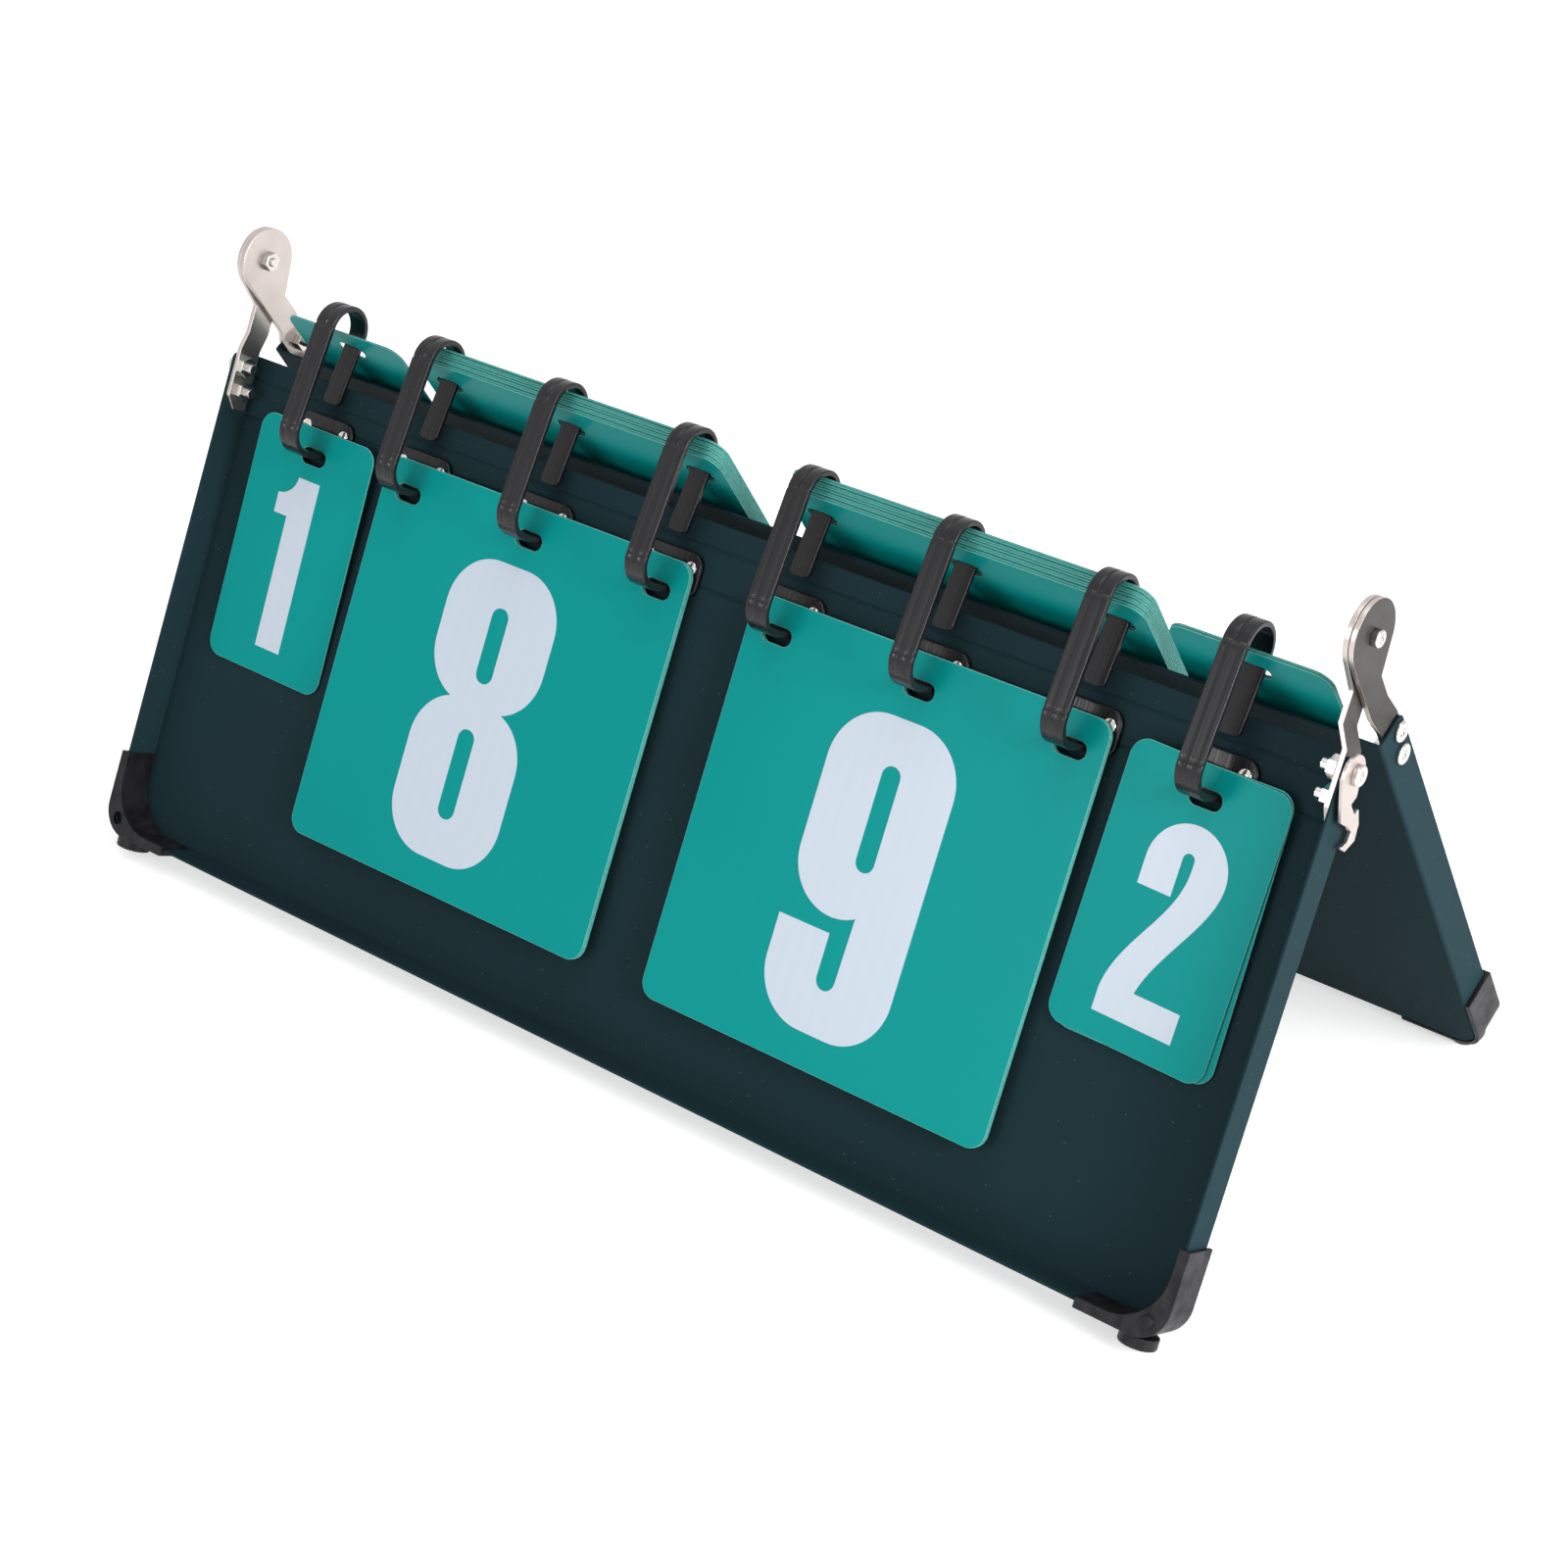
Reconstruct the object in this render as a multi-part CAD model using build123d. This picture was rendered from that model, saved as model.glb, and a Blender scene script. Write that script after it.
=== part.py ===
from build123d import *
import math
import os

# Tabletop flip scoreboard: two shallow steel trays hinged along their top edges stand as an A-frame.
# Plastic rings on the front tray's top edge carry the number cards; turned cards hang over the rear tray.
# World frame: +X along the board to the reader's right, -Y towards the reader of the front tray, +Z up.
# Origin: middle of the footprint, on the table.  Millimetres and degrees throughout.
#
# Tray frame: x along the board, y up the panel from its top edge (so -y is down the panel),
# z out of the panel from its back face.

# ---- trays
tray_length = 385.0          # over the two side flanges
tray_height = 150.5          # top edge to the outside of the bottom flange
tray_depth = 11.0            # back face to the flanges' free edge
sheet = 0.8                  # steel thickness
corner_r = 8.0               # outer radius of the two bottom corners
bend_r = 1.0                 # outer radius where a flange is folded
flange_tip_r = 1.5           # rounding of each side flange's top corner
lean = 28.42                 # each tray's lean from the vertical when it stands
line_down = (6.9, 18.1)      # two lines pressed along the panel, distance below the top edge
line_width = 1.4
line_deep = 0.3

# ---- corner caps
cap_wall = 1.4               # plastic outside the flanges
cap_lip = 1.2                # plastic in front of the flanges' free edge
cap_rim = 3.0                # width of the face at the ends of its two arms
cap_side_arm = 25.4          # length of the arm up the side
cap_bottom_arm = 25.9        # length of the arm along the bottom
cap_inner_r = 15.0           # concave inner edge of the face
cap_play = 0.1               # all round the flange
foot_r = 5.2                 # stub under each cap that stands on the table
foot_drop = 3.2              # below the cap
foot_from_side = 8.9         # foot's axis in from the cap's outer side
foot_edge = 0.6              # rounding of the foot's end
peg_r = 1.7                  # locates the closed trays
peg_high = 1.0
peg_in = 5.2                 # peg's axis in from both outer sides of the cap
peg_play = 0.3               # between the peg and its socket
peg_socket_deep = 2.0

# ---- hinge arms
arm_t = 1.5                  # plate thickness
arm_low = 17.0               # reach below the tray's top edge
arm_width = 8.1
arm_eye_r = 9.7
pivot_up = 29.1              # pivot above the tray's top edge
arm_taper_high = 7.0         # where the eye's outer edge starts to narrow, below the pivot
arm_kink_high = 13.9         # where that edge meets the strip, below the pivot
arm_corner_up = 4.0          # chamfer at the foot of the arm
arm_corner_in = 3.1
joggle_low = 1.5             # the plate steps inwards between these two heights above the top edge
joggle_high = 7.0
eye_gap = 0.1                # between the two plates on one pivot

# ---- screws and nuts
bolt_r = 1.5                 # arm screws
bolt_head_r = 2.8
bolt_head_high = 1.3
bolt_hole_play = 0.1
bolt_past_nut = 2.3
bolt_nut_flats = 5.5
bolt_nut_high = 2.4
bolt_down = (3.5, 10.8)      # below the tray's top edge, upper and lower screw
bolt_out = (8.0, 6.2)        # out from the panel's back face
head_edge = 0.5              # rounding of every screw head
recess_wide = 0.7            # cross recess
recess_long = 2.8
recess_deep = 0.6
pivot_r = 1.25
pivot_head_r = 2.3
pivot_head_high = 1.9
pivot_nut_flats = 5.0
pivot_nut_high = 2.0
pivot_past_nut = 0.8
pivot_fit = 0.05             # running clearance round both pivots and beside their plates

# ---- latch
latch_t = 1.1
latch_eye_r = 5.2
latch_lift = 1.35            # latch plate off the flange, clear of the lower screw's head
latch_spacer_r = 2.4
latch_outline = (            # from the pivot: across the board's side, then up
    (-3.9, 5.4), (-6.6, 1.85), (-6.0, -10.8), (-2.5, -13.6), (-0.6, -16.0), (-1.9, -17.8),
    (-5.4, -18.2), (-3.1, -20.25), (1.3, -19.4), (2.8, -15.3), (2.2, -10.7), (0.3, -11.3),
    (-1.7, -7.5), (0.7, -6.6), (1.4, -4.2), (3.7, -1.9),
)
latch_eye_at = (-1.3, 0.5)   # centre of the rounded head, from the pivot
latch_edge = 0.35            # rounding of the outline's corners

# ---- card rings
ring_t = 1.7                 # strap thickness
ring_wide = 7.2              # front leg
ring_thin = 6.2              # free rear leg
ring_arch_r = 7.3            # centre line of the arch
ring_rise = 24.3             # top of the arch above the tray's top edge
ring_rear_lean = 9.0         # rear leg leans back over the panel's top edge
ring_front_lean = 6.0
ring_tip_down = 5.6          # end of the rear leg below the top edge
ring_edge_gap = 0.15         # between the rear leg and the panel at the top edge
ring_bend_r = 7.2            # centre line of the lower bend
ring_run_down = 21.4         # where the strap passes back through the cards
ring_tip_r = 1.4             # corners of the free end
ring_groove_wide = 1.6
ring_groove_deep = 0.3
base_wide = 22.0             # foot plate of a ring
base_top = 9.7               # below the top edge
base_high = 12.6
base_t = 1.6
base_r = 4.0
rivet_off = 7.5              # either side of the ring
rivet_down = 14.0
rivet_r = 1.2
rivet_head_r = 2.2
rivet_head_high = 0.5
rivet_tail_r = 1.9           # tail spread flush in a counterbore, so that the trays lie flat when opened
rivet_tail_high = 0.4
rivet_play = 0.05

# ---- cards
card_t = 0.5
card_pitch = 0.62            # card to card in a pack
card_corner_r = 5.0
big_high, big_top = 115.7, 12.75
small_wide, small_high, small_top = 47.2, 76.2, 13.8
middle_gap = 22.4            # between the two big cards
card_gap = 6.1               # between a big card and the small one beside it
end_gap = 12.2               # small card's outer edge in from the tray's end
ring_in = 10.2               # outer rings of a big card in from its side edges
slot_wide = 10.0
slot_high = 5.0
slot_down = 22.3             # slots' centre line below the tray's top edge
turned_gap = 3.7             # innermost turned card off the rear panel's back face plane
turned_lean = 1.5            # turned packs lean out from the rear tray
turned_slot = 8.2            # slot below the arch's centre for a card in line with that centre
turned_slot_rate = 0.42      # less that much for each millimetre further out

# shown card's front face off the panel's back face, at its top and at its bottom
shown_top_out = {"small_left": 4.5, "big_left": 4.9, "big_right": 4.9, "small_right": 4.5}
shown_bottom_out = {"small_left": 1.5, "big_left": 5.4, "big_right": 5.4, "small_right": 2.12}
# shown card's turn in its own plane, degrees
shown_twist_angle = {"small_left": -0.5, "big_left": 0.0, "big_right": 0.0, "small_right": -1.8}
# cards behind the shown one, and cards turned over
waiting_count = {"small_left": 0, "big_left": 2, "big_right": 2, "small_right": 1}
turned_count = {"small_left": 1, "big_left": 8, "big_right": 9, "small_right": 2}

# ---- worked out from the sizes above
half = tray_length / 2
big_wide = half - middle_gap / 2 - card_gap - small_wide - end_gap
big_at = (middle_gap + big_wide) / 2      # middle of each big card
small_at = half - end_gap - small_wide / 2
ring_step = big_wide / 2 - ring_in        # from ring to ring along a big card
CARD_SIZES = {"small": (small_wide, small_high, small_top), "big": (big_wide, big_high, big_top)}
# name: size, middle, and the rings that carry the pack
PACKS = {
    "small_left": ("small", -small_at, (-small_at,)),
    "big_left": ("big", -big_at, (-big_at - ring_step, -big_at, -big_at + ring_step)),
    "big_right": ("big", big_at, (big_at - ring_step, big_at, big_at + ring_step)),
    "small_right": ("small", small_at, (small_at,)),
}
ring_at = [at for _, _, rings in PACKS.values() for at in rings]
sin_lean = math.sin(math.radians(lean))
cos_lean = math.cos(math.radians(lean))
pivot_out = tray_depth + cap_lip          # so that the closed trays meet cap to cap
half_gap = pivot_up * sin_lean - pivot_out * cos_lean
cap_side = half + cap_wall
cap_bottom = tray_height + cap_wall
cap_front = tray_depth + cap_lip
foot_out = cap_front / 2
foot_end = cap_bottom + foot_drop
foot_edge_out = foot_out - foot_r + foot_edge   # centre of the foot's rounded lowest edge
top_z = (foot_end - foot_edge) * cos_lean - foot_edge_out * sin_lean + foot_edge
arm_face = half - sheet                   # plate against the flange's inner face
arm_inner = arm_face - arm_t
eye_outer = arm_inner                     # outer plate at each pivot: one plate thickness further in
eye_inner = eye_outer - arm_t - eye_gap   # inner plate's outer face
arm_back = pivot_out - arm_eye_r
arm_front = arm_back + arm_width
latch_in = half + latch_lift
latch_out = latch_in + latch_t
ring_apex = ring_rise - ring_t / 2
over = 2 * ring_rise                      # longer than the small things it cuts

FRONT = Plane(origin=(0, -half_gap, top_z), x_dir=(1, 0, 0), z_dir=(0, -cos_lean, sin_lean))
REAR = Plane(origin=(0, half_gap, top_z), x_dir=(-1, 0, 0), z_dir=(0, cos_lean, sin_lean))


def side_plane(at_x):
    """Plane across the board at at_x: first axis up the panel, second out of it."""
    return Plane(origin=(at_x, 0, 0), x_dir=(0, 1, 0), z_dir=(1, 0, 0))


def polygon(points):
    return make_face(Polyline(*points, close=True))


def bar_x(radius, x_from, x_to, up, out):
    """Round bar along x between two values of x."""
    length = x_to - x_from
    return Pos((x_from + x_to) / 2, up, out) * Rot(0, 90, 0) * Cylinder(radius, abs(length))


def hex_x(flats, x_from, x_to, up, out, bore):
    """Hexagon nut along x with a plain bore."""
    hexagon = RegularPolygon(flats / 2, 6, major_radius=False) - Circle(bore)
    return extrude(side_plane(min(x_from, x_to)) * Pos(up, out) * hexagon, abs(x_to - x_from))


# ---- trays


def tray_outline(inset, above):
    """Panel outline shrunk by inset on three sides and carried above the top edge."""
    wide = half - inset
    low = tray_height - inset
    face = polygon([(-wide, above), (-wide, -low), (wide, -low), (wide, above)])
    return fillet(face.vertices().group_by(Axis.Y)[0], corner_r - inset)


def tray_panel(with_rings):
    """Folded steel tray: panel, two side flanges and a bottom flange."""
    body = extrude(tray_outline(0, 0), tray_depth)
    rear_rim = [e for e in body.edges().group_by(Axis.Z)[0] if e.center().Y < -bend_r]
    body = fillet(rear_rim, bend_r)
    body -= extrude(Plane.XY.offset(sheet) * tray_outline(sheet, over), tray_depth)
    tips = [
        e for e in body.edges().filter_by(Axis.X)
        if abs(e.center().Y) < sheet / 2 and abs(e.center().Z - tray_depth) < sheet / 2
    ]
    body = fillet(tips, flange_tip_r)
    for down in line_down:
        body -= Pos(0, -down, sheet - line_deep / 2) * Box(2 * arm_face, line_width, line_deep)
    for side in (-1, 1):
        for down, out in zip(bolt_down, bolt_out):
            body -= bar_x(bolt_r + bolt_hole_play, side * arm_inner, side * (half + sheet), -down, out)
    if with_rings:
        for at in ring_at:
            for off in (-rivet_off, rivet_off):
                place = Pos(at + off, -rivet_down, 0)
                body -= place * Cylinder(rivet_r + rivet_play, 2 * base_t)
                body -= place * Cylinder(rivet_tail_r + rivet_play, 2 * (rivet_tail_high + rivet_play))
    return body


# ---- corner caps


def corner_cap(side, with_peg):
    """Moulded cap over one bottom corner, with its foot stub; side is the sign of its x."""
    outer_x = side * cap_side
    arm_x = side * (cap_side - cap_bottom_arm)
    rim_x = side * (cap_side - cap_rim)
    arm_y = -(cap_bottom - cap_side_arm)
    rim_y = -(cap_bottom - cap_rim)
    face = polygon([
        (outer_x, arm_y), (outer_x, -cap_bottom), (arm_x, -cap_bottom),
        (arm_x, rim_y), (rim_x, rim_y), (rim_x, arm_y),
    ])
    inside = face.vertices().sort_by_distance((rim_x, rim_y))[0]
    face = fillet([inside], cap_inner_r)
    outside = face.vertices().sort_by_distance((outer_x, -cap_bottom))[0]
    face = fillet([outside], corner_r + cap_wall)
    body = extrude(face, cap_front)
    flange_room = extrude(tray_outline(-cap_play, over), tray_depth + cap_play)
    flange_room -= extrude(
        Plane.XY.offset(sheet + cap_play) * tray_outline(sheet + cap_play, 2 * over), tray_depth
    )
    body -= flange_room
    foot = Pos(side * (cap_side - foot_from_side), -(cap_bottom + foot_end - tray_depth) / 2, foot_out)
    reach = foot_end - cap_bottom + tray_depth
    stub = foot * Rot(90, 0, 0) * Cylinder(foot_r, reach)
    stub = fillet(stub.edges().sort_by(Axis.Y)[0], foot_edge)
    stub &= Pos(outer_x, -(cap_bottom + foot_drop / 2), foot_out) * Box(over, foot_drop, over)
    body += stub
    peg_at = Pos(side * (cap_side - peg_in), -(cap_bottom - peg_in), cap_front)
    if with_peg:
        body += peg_at * Pos(0, 0, peg_high / 2) * Cylinder(peg_r, peg_high)
    else:
        body -= peg_at * Pos(0, 0, -peg_socket_deep / 2) * Cylinder(peg_r + peg_play, peg_socket_deep)
    return body


# ---- hinge


def hinge_arm(side, eye_face):
    """Steel arm screwed inside a side flange; eye_face is the outer face of its eye."""
    outline = polygon([
        (-arm_low, arm_back), (pivot_up, arm_back), (pivot_up, pivot_out),
        (pivot_up - arm_taper_high, pivot_out + math.sqrt(arm_eye_r ** 2 - arm_taper_high ** 2)),
        (pivot_up - arm_kink_high, arm_front), (-arm_low + arm_corner_up, arm_front),
        (-arm_low, arm_front - arm_corner_in),
    ])
    outline += Pos(pivot_up, pivot_out) * Circle(arm_eye_r)
    top = pivot_up + 2 * arm_eye_r
    low = -2 * arm_low
    joggle = polygon([
        (side * arm_face, low), (side * arm_face, joggle_low), (side * eye_face, joggle_high),
        (side * eye_face, top), (side * (eye_face - arm_t), top),
        (side * (eye_face - arm_t), joggle_high), (side * arm_inner, joggle_low), (side * arm_inner, low),
    ])
    wide = 2 * (arm_face - eye_face + arm_t)
    plate = extrude(side_plane(side * arm_face - wide) * outline, 2 * wide)
    plate &= extrude(joggle, over)
    plate -= bar_x(pivot_r + pivot_fit, side * (eye_face - 2 * arm_t), side * half, pivot_up, pivot_out)
    for down, out in zip(bolt_down, bolt_out):
        plate -= bar_x(bolt_r + bolt_hole_play, side * (arm_inner - arm_t), side * half, -down, out)
    return plate


def pan_screw(side, radius, head_r, head_high, under_head, tip, up, out):
    """Pan head screw with a cross recess, along x, its head on the outer side."""
    head = bar_x(head_r, side * under_head, side * (under_head + head_high), up, out)
    top = head.faces().sort_by(Axis.X)[-1 if side > 0 else 0]
    head = fillet(top.edges(), head_edge)
    depth = side * (under_head + head_high - recess_deep / 2)
    for turn in (0, 90):
        head -= Pos(depth, up, out) * Rot(turn, 0, 0) * Box(recess_deep, recess_long, recess_wide)
    return head + bar_x(radius, side * tip, side * (under_head + head_high - recess_deep), up, out)


def pivot_screw(side):
    tip = eye_inner - arm_t - pivot_fit - pivot_nut_high - pivot_past_nut
    return pan_screw(
        side, pivot_r, pivot_head_r, pivot_head_high, eye_outer + pivot_fit, tip, pivot_up, pivot_out
    )


def pivot_nut(side):
    near = eye_inner - arm_t - pivot_fit
    return hex_x(
        pivot_nut_flats, side * near, side * (near - pivot_nut_high), pivot_up, pivot_out,
        pivot_r + pivot_fit,
    )


def arm_screw(side, which):
    tip = arm_inner - bolt_nut_high - bolt_past_nut
    return pan_screw(
        side, bolt_r, bolt_head_r, bolt_head_high, half, tip, -bolt_down[which], bolt_out[which]
    )


def arm_nut(side, which):
    return hex_x(
        bolt_nut_flats, side * arm_inner, side * (arm_inner - bolt_nut_high),
        -bolt_down[which], bolt_out[which], bolt_r + pivot_fit,
    )


# ---- latch


def latch_screw():
    tip = arm_inner - bolt_nut_high - bolt_past_nut
    return pan_screw(
        1, bolt_r, bolt_head_r, bolt_head_high, latch_out + pivot_fit, tip, -bolt_down[0], bolt_out[0]
    )


def latch_spacer():
    """Washer that holds the latch plate clear of the lower screw's head."""
    ring = Circle(latch_spacer_r) - Circle(bolt_r + pivot_fit)
    place = side_plane(half) * Pos(-bolt_down[0], bolt_out[0])
    return extrude(place * ring, latch_lift - pivot_fit)


def latch_hook():
    """Flat hook that hangs straight down from its screw on the front tray's right flange."""
    pivot = (FRONT.location * Pos(0, -bolt_down[0], bolt_out[0])).position
    face = polygon(latch_outline)
    face = fillet(face.vertices(), latch_edge)
    face += Pos(*latch_eye_at) * Circle(latch_eye_r)
    face -= Circle(bolt_r + pivot_fit)
    place = Plane(origin=(latch_in, pivot.Y, pivot.Z), x_dir=(0, 1, 0), z_dir=(1, 0, 0))
    return extrude(place * face, latch_t)


# ---- card rings


def turn(vector, angle):
    """2-D vector turned anticlockwise."""
    c, s = math.cos(math.radians(angle)), math.sin(math.radians(angle))
    return (vector[0] * c - vector[1] * s, vector[0] * s + vector[1] * c)


def along(point, direction, length):
    return (point[0] + direction[0] * length, point[1] + direction[1] * length)


def ring_frame():
    """Corner data of the strap's centre line, as (up the panel, out of the panel)."""
    slope = math.radians(ring_rear_lean)
    over_edge = sheet + ring_edge_gap + ring_t / 2 / math.cos(slope)
    tip = (-ring_tip_down, over_edge + ring_tip_down * math.tan(slope))
    rear_up = turn((1, 0), -ring_rear_lean)       # up the rear leg, which leans back as it rises
    front_up = turn((1, 0), -ring_front_lean)
    arch_up = ring_apex - ring_arch_r
    rear_off = turn((0, -1), -ring_rear_lean)     # from the arch's centre to the rear leg
    front_off = turn((0, 1), -ring_front_lean)
    rear_top_up = arch_up + ring_arch_r * rear_off[0]
    climb = (rear_top_up - tip[0]) / rear_up[0]
    rear_top = along(tip, rear_up, climb)
    arch = along(rear_top, rear_off, -ring_arch_r)
    front_top = along(arch, front_off, ring_arch_r)
    bend_up = -(ring_run_down - ring_bend_r)
    fall = (front_top[0] - (bend_up + ring_bend_r * front_off[0])) / front_up[0]
    front_low = along(front_top, front_up, -fall)
    bend = along(front_low, front_off, -ring_bend_r)
    return tip, arch, bend, rear_up, front_up, rear_off, front_off, rear_top, front_top, front_low


def ring_edge(offset):
    """Edges of the strap's side view at a distance outside its centre line, tip first."""
    tip, arch, bend, _, _, rear_off, front_off, _, _, _ = ring_frame()
    start = along(tip, rear_off, offset)
    rear = along(arch, rear_off, ring_arch_r + offset)
    crown = along(arch, turn(rear_off, 90 + (ring_rear_lean - ring_front_lean) / 2), ring_arch_r + offset)
    front = along(arch, front_off, ring_arch_r + offset)
    low = along(bend, front_off, ring_bend_r + offset)
    belly = along(bend, turn(front_off, (90 + ring_front_lean) / 2), ring_bend_r + offset)
    under = (bend[0] - ring_bend_r - offset, bend[1])
    end = (under[0], sheet + base_t / 2)
    edges = [
        Line(start, rear), ThreePointArc(rear, crown, front), Line(front, low),
        ThreePointArc(low, belly, under), Line(under, end),
    ]
    return edges, start, end


def ring_band(inner, outer):
    """Face between two offsets of the strap's centre line."""
    low, low_start, low_end = ring_edge(inner)
    high, high_start, high_end = ring_edge(outer)
    return make_face(low + high + [Line(low_start, high_start), Line(low_end, high_end)])


def card_ring(at):
    """Plastic strap ring: foot plate, lower run, front leg, arch and free rear leg."""
    tip, arch = ring_frame()[:2]
    strap = extrude(side_plane(at - ring_wide / 2) * ring_band(-ring_t / 2, ring_t / 2), ring_wide)
    back = arch[1] - ring_arch_r - ring_t
    front = arch[1] + ring_arch_r
    for side in (-1, 1):
        wedge = polygon([
            (at + side * ring_thin / 2, back), (at + side * ring_wide / 2, front),
            (at + side * ring_wide, front), (at + side * ring_wide, back),
        ])
        room = extrude(Plane.XZ.offset(ring_tip_down + ring_t) * wedge, -2 * over)
        strap -= room
    ends = [
        e for e in strap.edges()
        if abs(e.length - ring_t) < ring_t / 10 and e.center().Y < -ring_tip_down + ring_t
        and e.center().Y > -ring_tip_down - ring_t and e.center().Z < tip[1] + ring_t
    ]
    strap = fillet(ends, ring_tip_r)
    groove = extrude(
        side_plane(at - ring_groove_wide / 2) * ring_band(ring_t / 2 - ring_groove_deep, ring_t),
        ring_groove_wide,
    )
    strap -= groove & (Pos(at, 0, 0) * Pos(0, over / 2, 0) * Box(ring_wide, over, 2 * over))
    base = Pos(at, -(base_top + base_high / 2)) * RectangleRounded(base_wide, base_high, base_r)
    plate = extrude(Plane.XY.offset(sheet) * base, base_t)
    for off in (-rivet_off, rivet_off):
        plate -= Pos(at + off, -rivet_down, sheet + base_t / 2) * Cylinder(rivet_r + rivet_play, 2 * base_t)
    return plate + strap


def ring_rivet(at):
    shank_high = sheet + base_t
    rivet = Pos(0, 0, shank_high / 2) * Cylinder(rivet_r, shank_high)
    rivet += Pos(0, 0, shank_high + rivet_head_high / 2) * Cylinder(rivet_head_r, rivet_head_high)
    rivet += Pos(0, 0, rivet_tail_high / 2) * Cylinder(rivet_tail_r, rivet_tail_high)
    return Pos(at, -rivet_down, 0) * rivet


# ---- cards


def card(wide, high, slot_below, slots):
    """Card with its face on z = 0, its top edge on y = 0 and its thickness behind."""
    face = Pos(0, -high / 2) * RectangleRounded(wide, high, card_corner_r)
    for at in slots:
        face -= Pos(at, -slot_below) * SlotOverall(slot_wide, slot_high)
    return extrude(Plane.XY.offset(-card_t) * face, card_t)


def pack_card(pack):
    """The pack's card, with a slot for each of its rings."""
    size, middle, rings = PACKS[pack]
    wide, high, top = CARD_SIZES[size]
    return card(wide, high, slot_down - top, [at - middle for at in rings])


def front_cards(pack, first, count):
    """Cards of a pack on the front tray, counted from the shown one."""
    one = pack_card(pack)
    size, middle, _ = PACKS[pack]
    _, high, top = CARD_SIZES[size]
    tilt = math.degrees(math.asin((shown_top_out[pack] - shown_bottom_out[pack]) / high))
    slot = Pos(0, -(slot_down - top))
    spin = slot * Rot(0, 0, shown_twist_angle[pack] if first == 0 else 0) * slot.inverse()
    place = Pos(middle, -top, shown_top_out[pack]) * Rot(tilt, 0, 0)
    return [place * Pos(0, 0, -i * card_pitch) * spin * one for i in range(first, first + count)]


def turned_cards(pack):
    """Cards turned over the rings, hanging on the rear tray, in the rear tray's frame."""
    one = pack_card(pack)
    size, middle, _ = PACKS[pack]
    top = CARD_SIZES[size][2]
    arch = ring_frame()[1]
    in_world = (FRONT.location * Pos(0, arch[0], arch[1])).position
    centre = REAR.to_local_coords(in_world)
    placed = []
    for i in range(turned_count[pack]):
        off = turned_gap + card_t / 2 + i * card_pitch - centre.Z
        slot_at = turned_slot - turned_slot_rate * off
        drop = slot_at - (slot_down - top)
        place = Pos(-middle, centre.Y, centre.Z) * Rot(-turned_lean, 0, 0)
        placed.append(place * Pos(0, -drop, off + card_t / 2) * one)
    return placed


# ---- every sub-part, in the world frame


def all_parts():
    parts = {}

    def add(node, plane, *solids):
        moved = [s.moved(plane.location) for s in solids]
        parts[node] = moved[0] if len(moved) == 1 else Compound(children=moved)

    for tray, plane in (("front", FRONT), ("rear", REAR)):
        is_front = tray == "front"
        add(tray + "_panel", plane, tray_panel(is_front))
        screws = []
        nuts = []
        for side in (-1, 1):
            hand = "right" if (side > 0) == is_front else "left"
            add("corner_cap_%s_%s" % (tray, hand), plane, corner_cap(side, side > 0))
            eye_face = eye_inner if side > 0 else eye_outer
            add("hinge_arm_%s_%s" % (tray, hand), plane, hinge_arm(side, eye_face))
            for which in range(len(bolt_down)):
                nuts.append(arm_nut(side, which))
                if not (is_front and side > 0 and which == 0):
                    screws.append(arm_screw(side, which))
        add("arm_screws_" + tray, plane, *screws)
        add("arm_nuts_" + tray, plane, *nuts)
        hinge = "right" if is_front else "left"
        add("pivot_screw_" + hinge, plane, pivot_screw(1))
        add("pivot_nut_" + hinge, plane, pivot_nut(1))
    add("latch_screw", FRONT, latch_screw())
    add("latch_spacer", FRONT, latch_spacer())
    parts["latch_hook"] = latch_hook()
    for number, at in enumerate(ring_at, 1):
        add("card_ring_%d" % number, FRONT, card_ring(at))
    rivets = [ring_rivet(at + off) for at in ring_at for off in (-rivet_off, rivet_off)]
    add("ring_rivets", FRONT, *rivets)
    for pack in PACKS:
        add("card_shown_" + pack, FRONT, *front_cards(pack, 0, 1))
        if waiting_count[pack]:
            add("cards_waiting_" + pack, FRONT, *front_cards(pack, 1, waiting_count[pack]))
        add("cards_turned_" + pack, REAR, *turned_cards(pack))
    return parts


os.makedirs("parts", exist_ok=True)
for node, shape in all_parts().items():
    export_step(shape, "parts/%s.step" % node)
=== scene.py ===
# %% [markdown]
# # A tabletop flip scoreboard
# Two shallow steel trays lean together as an A-frame. Black plastic rings along the front tray's top
# edge carry the number cards, and nickel-plated arms join the trays at their ends. The built model
# already holds every piece at its real size. This lesson dresses it: each visible piece gets a surface
# with rounded edges and the material it is made of. The model is loaded first and never moved, and the
# box of the dressed board is printed at the end.

# %% Load the built model
from collections import namedtuple

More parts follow.
